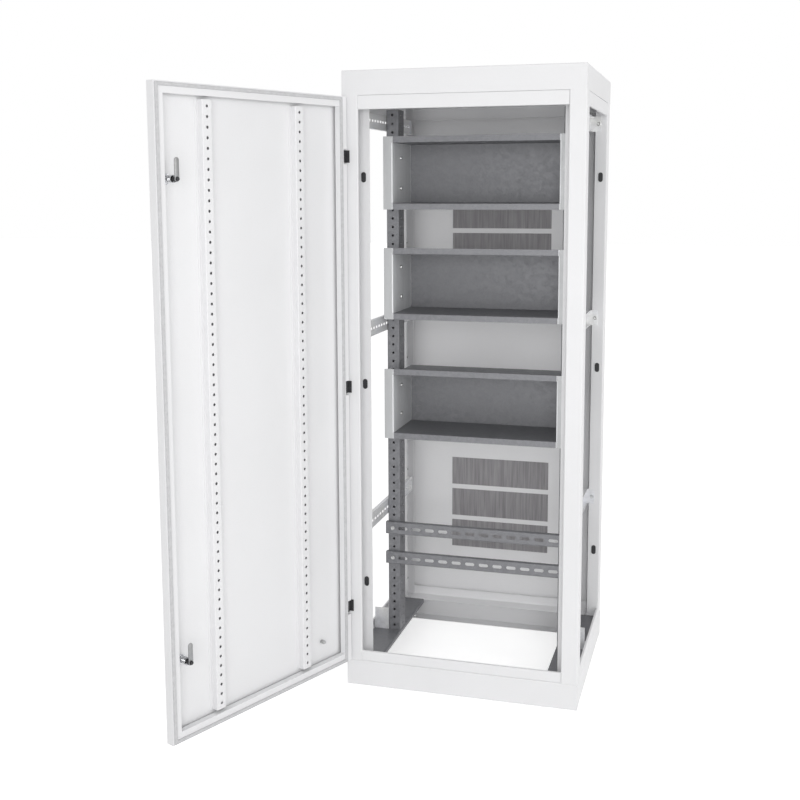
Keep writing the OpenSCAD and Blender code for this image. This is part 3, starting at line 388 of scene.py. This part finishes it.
def vent_cloth_painted_shade(finishes):
    """Grey filter cloth behind the vents, its grey a painted shade for the dark seen through the slots: fine upright
    threads with a coarser, uneven stripe.
    """
    made = Finish("vent_cloth_painted_shade")
    threads = made.bands("X", 210.0)
    stripe = made.noise(160.0, 2.0, 0.5, made.mapped((1.0, 1.0, 0.05)))
    grey = made.ramp(stripe, shade(finishes.vent_shade_grey, 0.82), shade(finishes.vent_shade_grey, 1.18), 0.3, 0.7)
    lines = made.ramp(threads, (0.75, 0.75, 0.76), (1.0, 1.0, 1.0))
    made.link(made.tint(grey, lines), made.shader.inputs["Base Color"])
    made.set(Roughness=0.85, Specular_IOR_Level=0.2)
    made.bump(threads, 0.4, 0.0005)
    return made.material


def dress(names, material):
    """Give CAD nodes a finish."""
    for name in names:
        NODES[name].data.materials.clear()
        NODES[name].data.materials.append(material)


class CABINET_OT_finishes(bpy.types.Operator):
    """Give every CAD node its finish."""

    bl_idname = "cabinet.finishes"
    bl_label = "Finishes"

    def execute(self, context):
        finishes = context.scene.cabinet_finishes
        dress(CARCASS + DOOR, powder_coat(finishes))
        dress(MOUNTING + ["floor_angles"], galvanised("galvanised_sheet", finishes.galvanised).material)
        dress(TRAYS, tray_zinc_painted_light(finishes, -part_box("left_upright")[1].x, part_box("middle_tray")[0].y))
        # Painted shade: grey cloth behind the vent slots
        dress(["vent_screens"], vent_cloth_painted_shade(finishes))
        dress(STRAPS + BRACKETS, zinc_plate("bright_zinc", finishes.bright_zinc, 0.42, 0.3))
        dress(["rear_panel_screws", "strap_bolts", "tray_bolts", "cross_rail_bolts", "bolt_nuts", "hinge_pins",
               "earth_stud", "earth_nut"], zinc_plate("bolt_zinc", finishes.bolt_zinc, 0.3, 0.9))
        dress(["lock_nuts"] + [f"{level}_lock_body" for level in LOCKS], chrome(finishes))
        dress([f"{level}_lock_cam" for level in LOCKS], zinc_plate("cam_steel", finishes.cam_steel, 0.4, 0.85))
        dress(HINGES + ["slot_plugs"] + [f"{level}_lock_{part}" for level in LOCKS for part in ("spindle", "screw")],
              black_coat(finishes))
        dress(["door_seal"], seal_foam(finishes))
        return {"FINISHED"}


# Modelling

def alone(obj):
    """Select one object and make it the active one."""
    bpy.ops.object.select_all(action="DESELECT")
    obj.select_set(True)
    bpy.context.view_layer.objects.active = obj
    return obj


def pick(kind, test):
    """In edit mode, select the faces or edges that pass a test and nothing else."""
    bpy.ops.mesh.select_mode(type=kind)
    bpy.ops.mesh.select_all(action="DESELECT")
    mesh = bmesh.from_edit_mesh(bpy.context.object.data)
    for item in (mesh.faces if kind == "FACE" else mesh.edges):
        if test(item):
            item.select_set(True)
    bmesh.update_edit_mesh(bpy.context.object.data)


def flat_at(height):
    """Test for edges and faces that lie at a height."""
    return lambda item: all(abs(vertex.co.z - height) < FLAT for vertex in item.verts)


def turned(sides, radius, low, high, rims=(), rounding=1):
    """A cylinder or prism along Z whose named rims, pairs of height and width, are bevelled."""
    bpy.ops.object.select_all(action="DESELECT")
    bpy.ops.mesh.primitive_cylinder_add(
        vertices=sides, radius=radius, depth=high - low, location=(0.0, 0.0, (low + high) / 2))
    obj = bpy.context.object
    bpy.ops.object.transform_apply(location=True)
    bpy.ops.object.mode_set(mode="EDIT")
    for height, width in rims:
        pick("EDGE", flat_at(height))
        bpy.ops.mesh.bevel(offset=width, segments=rounding, affect="EDGES")
    bpy.ops.object.mode_set(mode="OBJECT")
    return obj


def thread(radius, depth, pitch, low, high):
    """A helical ridge along Z between two heights."""
    bpy.ops.object.select_all(action="DESELECT")
    bpy.ops.mesh.primitive_circle_add(vertices=3, radius=pitch, fill_type="NOTHING")
    obj = bpy.context.object
    foot = radius - depth
    ridge = ((foot, low), (radius, low + THREAD_BASE / 2 * pitch), (foot, low + THREAD_BASE * pitch))
    for vertex, (reach, height) in zip(obj.data.vertices, ridge):
        vertex.co = (reach, 0.0, height)
    screw = obj.modifiers.new("helix", "SCREW")
    screw.axis = "Z"
    screw.screw_offset = pitch
    screw.iterations = max(1, int((high - low) / pitch - THREAD_BASE))
    screw.steps = screw.render_steps = THREAD_STEPS
    bpy.ops.object.modifier_apply(modifier=screw.name)
    bpy.ops.object.mode_set(mode="EDIT")
    bpy.ops.mesh.select_all(action="SELECT")
    bpy.ops.mesh.remove_doubles(threshold=FLAT)
    bpy.ops.mesh.fill_holes(sides=3)
    bpy.ops.mesh.select_all(action="SELECT")
    bpy.ops.mesh.normals_make_consistent(inside=False)
    bpy.ops.object.mode_set(mode="OBJECT")
    return obj


def joined(*parts):
    """Several objects as one, with smooth round faces."""
    bpy.ops.object.select_all(action="DESELECT")
    for part in parts:
        part.select_set(True)
    bpy.context.view_layer.objects.active = parts[0]
    if len(parts) > 1:
        bpy.ops.object.join()
    obj = bpy.context.object
    bpy.ops.object.transform_apply(location=True, rotation=True, scale=True)
    bpy.ops.object.shade_smooth_by_angle(angle=SMOOTH_ANGLE)
    return obj


def copies(model, places):
    """A copy of a model at each place, joined; the model itself goes."""
    made = []
    for place in places:
        copy = model.copy()
        copy.data = model.data.copy()
        bpy.context.scene.collection.objects.link(copy)
        copy.matrix_world = place
        made.append(copy)
    bpy.data.objects.remove(model)
    bpy.context.view_layer.update()
    return joined(*made)


def settle(obj, name, body, finish, slot, *replaced):
    """Name a finished piece, give it its finish and tie it to its body."""
    obj.name = obj.data.name = name
    obj.data.materials.clear()
    obj.data.materials.append(bpy.data.materials[finish])
    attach(obj, body)
    if replaced:
        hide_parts(*replaced)


def extent(points):
    """Lowest and highest corner of some points."""
    return (Vector([min(point[axis] for point in points) for axis in range(3)]),
            Vector([max(point[axis] for point in points) for axis in range(3)]))


def solids(node):
    """Corner points of each separate solid of a CAD node."""
    mesh = bmesh.new()
    mesh.from_mesh(NODES[node].data)
    bmesh.ops.remove_doubles(mesh, verts=mesh.verts, dist=FLAT)
    found, seen = [], set()
    for start in mesh.verts:
        if start in seen:
            continue
        seen.add(start)
        group, waiting = [], [start]
        while waiting:
            vertex = waiting.pop()
            group.append(vertex.co.copy())
            for edge in vertex.link_edges:
                other = edge.other_vert(vertex)
                if other not in seen:
                    seen.add(other)
                    waiting.append(other)
        found.append(group)
    mesh.free()
    return found


def along(place, direction):
    """Matrix that sets a model's Z axis along a direction at a place."""
    return Matrix.Translation(place) @ Vector(direction).to_track_quat("Z", "Y").to_matrix().to_4x4()


def across(step, axis):
    """Length of a step square to an axis."""
    flat = step.copy()
    flat[axis] = 0.0
    return flat.length


def headed(points, axis=None):
    """Seat, direction, shank length and head height of a screw, from its solid's points."""
    low, high = extent(points)
    size = high - low
    if axis is None:
        axis = max(range(3), key=lambda index: size[index])
    middle = (low + high) / 2
    widths = [across(point - middle, axis) for point in points]
    head = [point[axis] for point, width in zip(points, widths) if width > WIDE * max(widths)]
    first = abs(min(head) - low[axis]) < 1e-5
    seat, direction = middle.copy(), Vector((0.0, 0.0, 0.0))
    seat[axis] = max(head) if first else min(head)
    direction[axis] = 1.0 if first else -1.0
    height = abs((low if first else high)[axis] - seat[axis])
    return seat, direction, size[axis] - height, height


# Hardware

def flanged_bolt(hardware, diameter, length_below, height):
    """Hexagon bolt with a flange under its head and a thread to its chamfered end."""
    cut = hardware.chamfer
    core = diameter / 2 - hardware.thread_depth
    head = turned(6, hardware.bolt_across / 2 / HEX, -height, -hardware.bolt_flange, [(-height, cut)], 2)
    bpy.ops.object.mode_set(mode="EDIT")
    pick("FACE", flat_at(-height))
    bpy.ops.mesh.inset(thickness=hardware.bolt_across * HEAD_DISH)
    bpy.ops.transform.translate(value=(0.0, 0.0, cut))
    bpy.ops.object.mode_set(mode="OBJECT")
    flange = turned(36, hardware.bolt_across * FLANGE_REACH, -hardware.bolt_flange, 0.0,
                    [(-hardware.bolt_flange, hardware.bolt_flange * FLANGE_ROUND)], 3)
    shank = turned(24, core, 0.0, length_below, [(length_below, cut)])
    ridge = thread(diameter / 2, hardware.thread_depth * THREAD_ROOT, hardware.bolt_pitch, 0.0005, length_below - cut)
    return joined(head, flange, shank, ridge)


def hexagon_nut(hardware, across, height, bore):
    """Hexagon nut with chamfered rims and a countersunk bore round the thread."""
    cut = hardware.chamfer
    nut = turned(6, across / 2 / HEX, 0.0, height, [(0.0, cut), (height, cut)], 2)
    bpy.ops.object.mode_set(mode="EDIT")
    pick("FACE", flat_at(height))
    bpy.ops.mesh.inset(thickness=max(cut, across / 2 - bore - cut))
    bpy.ops.transform.translate(value=(0.0, 0.0, -cut))
    bpy.ops.object.mode_set(mode="OBJECT")
    return nut


class CABINET_OT_bolts(bpy.types.Operator):
    """Make the flanged bolts and their nuts."""

    bl_idname = "cabinet.bolts"
    bl_label = "Bolts and nuts"

    def execute(self, context):
        hardware = context.scene.cabinet_hardware
        bolts = []
        for node in ("strap_bolts", "tray_bolts", "cross_rail_bolts"):
            found = [headed(points) for points in solids(node)]
            bolts += found
            settle(self.make_bolts(hardware, found), f"flanged_{node}", "cabinet", "bolt_zinc", "zinc", node)
        self.make_nuts(hardware, bolts)
        return {"FINISHED"}

    def make_bolts(self, hardware, found):
        """One model for each length of bolt, copied to its places."""
        sets = []
        for length_below in sorted({round(reach, 5) for _, _, reach, _ in found}):
            bolt = flanged_bolt(hardware, hardware.bolt_diameter, length_below, found[0][3])
            sets.append(copies(bolt, [along(seat, direction) for seat, direction, reach, _ in found
                                      if round(reach, 5) == length_below]))
        return joined(*sets)

    def make_nuts(self, hardware, bolts):
        """One nut for each bolt, turned the bolt's way."""
        places, height = [], 0.0
        for points in solids("bolt_nuts"):
            low, high = extent(points)
            middle, height = (low + high) / 2, min(high - low)
            _, direction, _, _ = min(bolts, key=lambda bolt: (bolt[0] - middle).length)
            places.append(along(middle - direction * height / 2, direction))
        nuts = copies(hexagon_nut(hardware, hardware.bolt_across, height, hardware.bolt_diameter / 2), places)
        settle(nuts, "chamfered_nuts", "cabinet", "bolt_zinc", "zinc", "bolt_nuts")


class CABINET_OT_panel_screws(bpy.types.Operator):
    """Make the pan-head screws of the rear panel, each with a cross recess."""

    bl_idname = "cabinet.panel_screws"
    bl_label = "Rear panel screws"

    def execute(self, context):
        hardware = context.scene.cabinet_hardware
        groups = solids("rear_panel_screws")
        found = [headed(points, 1) for points in groups]
        low, high = extent(groups[0])
        screw = self.make_screw(hardware, (high.z - low.z) / 2, found[0][3], found[0][2])
        settle(copies(screw, [along(seat, direction) for seat, direction, _, _ in found]),
               "pan_head_screws", "cabinet", "bolt_zinc", "zinc", "rear_panel_screws")
        return {"FINISHED"}

    def make_screw(self, hardware, radius, height, reach):
        """A domed head with a cross cut into it, and a shank below."""
        head = turned(32, radius, -height, 0.0, [(-height, height * DOME_ROUND)], 5)
        for turn in (0.0, math.pi / 2):
            bpy.ops.object.select_all(action="DESELECT")
            bpy.ops.mesh.primitive_cube_add(size=1.0, location=(0.0, 0.0, -height), rotation=(0.0, 0.0, turn))
            bar = bpy.context.object
            bar.scale = (hardware.recess_arm, hardware.recess_arm * RECESS_WIDTH, height * RECESS_DEPTH)
            bpy.ops.object.transform_apply(location=True, rotation=True, scale=True)
            alone(head)
            cut = head.modifiers.new("recess", "BOOLEAN")
            cut.operation = "DIFFERENCE"
            cut.object = bar
            bpy.ops.object.modifier_apply(modifier=cut.name)
            bpy.data.objects.remove(bar)
        if reach < 1e-5:
            return joined(head)
        shank = turned(20, radius * SHANK_REACH, -height * SHANK_ROOT, reach, [(reach, hardware.chamfer)])
        return joined(head, shank)


# Door

def door_swing():
    """Matrix that swings the closed door to where the frame has it."""
    pivot = Vector(JOINTS["door_hinge"]["pos_m"])
    inward = Vector(JOINTS["upper_lock_turn"]["axis"])
    angle = math.atan2(-inward.x, inward.y)
    return Matrix.Translation(pivot) @ Matrix.Rotation(angle, 4, "Z") @ Matrix.Translation(-pivot)


def closed_extent(points):
    """Lowest and highest corner of points of the door as they lie when it is closed."""
    back = door_swing().inverted()
    return extent([back @ point for point in points])


def corners(node):
    """All corner points of a CAD node."""
    return [vertex.co.copy() for vertex in NODES[node].data.vertices]


def inward_at(place):
    """Matrix that points a model's Z axis from a place on the closed door into the cabinet."""
    return door_swing() @ Matrix.Translation(place) @ Matrix.Rotation(math.radians(-90.0), 4, "X")


class CABINET_OT_seal(bpy.types.Operator):
    """Make the foam ring with its rounded free edges."""

    bl_idname = "cabinet.seal"
    bl_label = "Door seal"

    def execute(self, context):
        hardware = context.scene.cabinet_hardware
        low, high = closed_extent(corners("door_seal"))
        size, middle = high - low, (low + high) / 2
        bpy.ops.object.select_all(action="DESELECT")
        bpy.ops.mesh.primitive_plane_add(size=1.0)
        seal = bpy.context.object
        seal.scale = (size.x, size.z, 1.0)
        bpy.ops.object.transform_apply(scale=True)
        bpy.ops.object.mode_set(mode="EDIT")
        bpy.ops.mesh.inset(thickness=hardware.seal_width)
        bpy.ops.mesh.delete(type="FACE")
        bpy.ops.mesh.select_all(action="SELECT")
        bpy.ops.mesh.extrude_region_move(TRANSFORM_OT_translate={"value": (0.0, 0.0, size.y)})
        pick("EDGE", lambda edge: flat_at(size.y)(edge) and len(edge.link_faces) == 2 and any(
            abs(face.normal.z) < 0.5 for face in edge.link_faces))
        bpy.ops.mesh.bevel(offset=hardware.seal_round, segments=5, affect="EDGES")
        bpy.ops.mesh.select_all(action="SELECT")
        bpy.ops.mesh.normals_make_consistent(inside=False)
        bpy.ops.object.mode_set(mode="OBJECT")
        seal.matrix_world = inward_at((middle.x, low.y, middle.z))
        settle(joined(seal), "foam_seal", "door", "seal_foam", "rubber", "door_seal")
        return {"FINISHED"}


class CABINET_OT_locks(bpy.types.Operator):
    """Make the threads, nuts, cams and cam screws of the two locks."""

    bl_idname = "cabinet.locks"
    bl_label = "Locks"

    def execute(self, context):
        hardware = context.scene.cabinet_hardware
        self.make_nuts(hardware)
        for level in LOCKS:
            self.make_thread(hardware, level)
            self.make_cam(hardware, level)
            self.make_screw(hardware, level)
        return {"FINISHED"}

    def make_nuts(self, hardware):
        """The hexagon nuts that hold the lock bodies to the door."""
        places = []
        for points in solids("lock_nuts"):
            low, high = closed_extent(points)
            middle = (low + high) / 2
            places.append(inward_at((middle.x, low.y, middle.z)))
        across = min(high.x - low.x, high.z - low.z)
        nuts = copies(hexagon_nut(hardware, across, high.y - low.y, hardware.barrel), places)
        settle(nuts, "chamfered_lock_nuts", "door", "chrome", "chrome", "lock_nuts")

    def make_thread(self, hardware, level):
        """The thread on a lock body's barrel, from its nut to its end."""
        low, high = closed_extent(corners(f"{level}_lock_body"))
        middle = (low + high) / 2
        _, nut_high = closed_extent(corners("lock_nuts"))
        depth = hardware.lock_pitch * LOCK_THREAD
        ridge = thread(hardware.barrel + depth / 2, depth, hardware.lock_pitch, nut_high.y - low.y, high.y - low.y)
        ridge.matrix_world = inward_at((middle.x, low.y, middle.z))
        settle(joined(ridge), f"{level}_lock_thread", "door", "chrome", "chrome")

    def make_cam(self, hardware, level):
        """A flat bar with round ends and broken edges."""
        low, high = closed_extent(corners(f"{level}_lock_cam"))
        size, middle = high - low, (low + high) / 2
        bpy.ops.object.select_all(action="DESELECT")
        bpy.ops.mesh.primitive_cube_add(size=1.0)
        cam = bpy.context.object
        cam.scale = (size.x, size.z, size.y)
        bpy.ops.object.transform_apply(scale=True)
        bpy.ops.object.mode_set(mode="EDIT")
        pick("EDGE", lambda edge: abs(edge.verts[0].co.z - edge.verts[1].co.z) > size.y / 2)
        bpy.ops.mesh.bevel(offset=size.x * CAM_ROUND, segments=9, affect="EDGES")
        for height in (-size.y / 2, size.y / 2):
            pick("EDGE", flat_at(height))
            bpy.ops.mesh.bevel(offset=hardware.chamfer, segments=2, affect="EDGES")
        bpy.ops.object.mode_set(mode="OBJECT")
        cam.matrix_world = inward_at(middle)
        settle(joined(cam), f"{level}_rounded_cam", f"{level}_lock", "cam_steel", "chrome", f"{level}_lock_cam")

    def make_screw(self, hardware, level):
        """A washer and a hexagon head on the end of a spindle."""
        low, high = closed_extent(corners(f"{level}_lock_screw"))
        size, middle = high - low, (low + high) / 2
        cut = hardware.chamfer
        washer = turned(36, min(size.x, size.z) / 2, 0.0, hardware.bolt_flange, [(hardware.bolt_flange, cut / 2)])
        head = turned(6, hardware.bolt_across / 2 / HEX, hardware.bolt_flange, size.y, [(size.y, cut)], 2)
        bpy.ops.object.mode_set(mode="EDIT")
        pick("FACE", flat_at(size.y))
        bpy.ops.mesh.inset(thickness=hardware.bolt_across * HEAD_DISH)
        bpy.ops.transform.translate(value=(0.0, 0.0, -cut))
        bpy.ops.object.mode_set(mode="OBJECT")
        screw = joined(washer, head)
        screw.matrix_world = inward_at((middle.x, low.y, middle.z))
        settle(joined(screw), f"{level}_cam_screw", f"{level}_lock", "black_coat", "black", f"{level}_lock_screw")


class CABINET_OT_earth(bpy.types.Operator):
    """Make the threaded earth stud and its nut on the door."""

    bl_idname = "cabinet.earth"
    bl_label = "Earth stud"

    def execute(self, context):
        hardware = context.scene.cabinet_hardware
        low, high = closed_extent(corners("earth_stud"))
        size, middle = high - low, (low + high) / 2
        cut = hardware.chamfer
        core = turned(24, size.x / 2 - hardware.thread_depth, 0.0, size.y, [(size.y, cut)])
        ridge = thread(size.x / 2, hardware.thread_depth * THREAD_ROOT, hardware.bolt_pitch, cut, size.y - cut)
        collar = turned(32, size.x * COLLAR_REACH, 0.0, cut * 2, [(cut * 2, cut)], 3)
        stud = joined(core, ridge, collar)
        stud.matrix_world = inward_at((middle.x, low.y, middle.z))
        settle(joined(stud), "threaded_stud", "door", "bolt_zinc", "zinc", "earth_stud")
        low, high = closed_extent(corners("earth_nut"))
        across = min(high.x - low.x, high.z - low.z)
        nut = hexagon_nut(hardware, across, high.y - low.y, size.x / 2)
        nut.matrix_world = inward_at((middle.x, low.y, middle.z))
        settle(joined(nut), "stud_nut", "door", "bolt_zinc", "zinc", "earth_nut")
        return {"FINISHED"}


# Studio

def area_light(name, power, size, place, target):
    """A large soft light that looks at a point."""
    data = bpy.data.lights.new(name, "AREA")
    data.energy = power
    data.shape = "RECTANGLE"
    data.size, data.size_y = size
    lamp = bpy.data.objects.new(name, data)
    bpy.context.scene.collection.objects.link(lamp)
    lamp.location = place
    lamp.rotation_euler = (Vector(target) - Vector(place)).to_track_quat("-Z", "Y").to_euler()


def seen_white(tree):
    """1 on camera, glossy and transmission rays."""
    path = tree.nodes.new("ShaderNodeLightPath")
    total = path.outputs["Is Camera Ray"]
    for ray in ("Is Glossy Ray", "Is Transmission Ray"):
        largest = tree.nodes.new("ShaderNodeMath")
        largest.operation = "MAXIMUM"
        tree.links.new(total, largest.inputs[0])
        tree.links.new(path.outputs[ray], largest.inputs[1])
        total = largest.outputs[0]
    return total


class CABINET_OT_stage(bpy.types.Operator):
    """Make the floor, the light and the camera."""

    bl_idname = "cabinet.stage"
    bl_label = "Stage"

    def execute(self, context):
        scene = context.scene
        stage = scene.cabinet_stage
        scene.view_settings.view_transform = "Standard"
        self.make_floor(stage)
        self.make_world(scene, stage)
        area_light("key", stage.key_power, **KEY_LIGHT)
        area_light("fill", stage.fill_power, **FILL_LIGHT)
        self.make_camera(scene, stage)
        return {"FINISHED"}

    def make_floor(self, stage):
        """Pale floor that glows for the camera alone."""
        bpy.ops.object.select_all(action="DESELECT")
        bpy.ops.mesh.primitive_plane_add(size=stage.floor_size, location=(0.0, 0.0, -FLOOR_DROP))
        floor = bpy.context.object
        floor.name = "floor"
        bpy.ops.object.transform_apply(location=True)
        material = bpy.data.materials.new("studio_floor")
        material.use_nodes = True
        tree = material.node_tree
        shader = tree.nodes["Principled BSDF"]
        shader.inputs["Base Color"].default_value = (*stage.floor_colour, 1.0)
        shader.inputs["Roughness"].default_value = 0.8
        shader.inputs["Specular IOR Level"].default_value = 0.1
        shader.inputs["Emission Color"].default_value = (1.0, 1.0, 1.0, 1.0)
        glow = tree.nodes.new("ShaderNodeMath")
        glow.operation = "MULTIPLY"
        glow.inputs[1].default_value = stage.floor_glow
        tree.links.new(seen_white(tree), glow.inputs[0])
        tree.links.new(glow.outputs[0], shader.inputs["Emission Strength"])
        floor.data.materials.append(material)

    def make_world(self, scene, stage):
        """White backdrop with a weaker even light."""
        world = scene.world or bpy.data.worlds.new("studio")
        scene.world = world
        world.use_nodes = True
        tree = world.node_tree
        sky = tree.nodes["Background"]
        sky.inputs["Color"].default_value = (1.0, 1.0, 1.0, 1.0)
        strength = tree.nodes.new("ShaderNodeMapRange")
        strength.inputs["To Min"].default_value = stage.sky_fill
        strength.inputs["To Max"].default_value = 1.0
        tree.links.new(seen_white(tree), strength.inputs["Value"])
        tree.links.new(strength.outputs["Result"], sky.inputs["Strength"])

    def make_camera(self, scene, stage):
        """Camera at the photographer's place."""
        data = bpy.data.cameras.new("camera")
        data.sensor_width = SENSOR_WIDTH
        data.lens = stage.lens
        data.shift_y = stage.shift
        data.clip_end = VIEW_DEPTH
        camera = bpy.data.objects.new("camera", data)
        scene.collection.objects.link(camera)
        yaw, pitch, roll = (math.radians(CAMERA_TURN[turn]) for turn in ("yaw", "pitch", "roll"))
        ahead = Vector((-math.sin(yaw) * math.cos(pitch), math.cos(yaw) * math.cos(pitch), math.sin(pitch)))
        level = Vector((math.cos(yaw), math.sin(yaw), 0.0))
        upright = level.cross(ahead)
        right = math.cos(roll) * level + math.sin(roll) * upright
        up = -math.sin(roll) * level + math.cos(roll) * upright
        camera.matrix_world = Matrix.Translation(CAMERA_PLACE) @ Matrix((right, up, -ahead)).transposed().to_4x4()
        scene.camera = camera


class CABINET_PT_panel(bpy.types.Panel):
    """Lists the cabinet's operators."""

    bl_idname = "CABINET_PT_panel"
    bl_label = "Cabinet"
    bl_space_type = "VIEW_3D"
    bl_region_type = "UI"
    bl_category = "Cabinet"

    def draw(self, context):
        for operator in OPERATORS:
            self.layout.operator(operator.bl_idname)


OPERATORS = [CABINET_OT_finishes, CABINET_OT_bolts, CABINET_OT_panel_screws, CABINET_OT_seal, CABINET_OT_locks,
             CABINET_OT_earth, CABINET_OT_stage]
CLASSES = [CabinetFinishes, CabinetHardware, CabinetStage, *OPERATORS, CABINET_PT_panel]


def register():
    """Add the classes and the scene's settings."""
    for cls in CLASSES:
        bpy.utils.register_class(cls)
    bpy.types.Scene.cabinet_finishes = PointerProperty(type=CabinetFinishes)
    bpy.types.Scene.cabinet_hardware = PointerProperty(type=CabinetHardware)
    bpy.types.Scene.cabinet_stage = PointerProperty(type=CabinetStage)


def unregister():
    """Take the settings and the classes away again."""
    del bpy.types.Scene.cabinet_stage
    del bpy.types.Scene.cabinet_hardware
    del bpy.types.Scene.cabinet_finishes
    for cls in reversed(CLASSES):
        bpy.utils.unregister_class(cls)


def main():
    """Dress the cabinet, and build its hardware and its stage."""
    register()
    bpy.ops.cabinet.finishes()
    bpy.ops.cabinet.bolts()
    bpy.ops.cabinet.panel_screws()
    bpy.ops.cabinet.seal()
    bpy.ops.cabinet.locks()
    bpy.ops.cabinet.earth()
    bpy.ops.cabinet.stage()


if __name__ == "__main__":
    main()
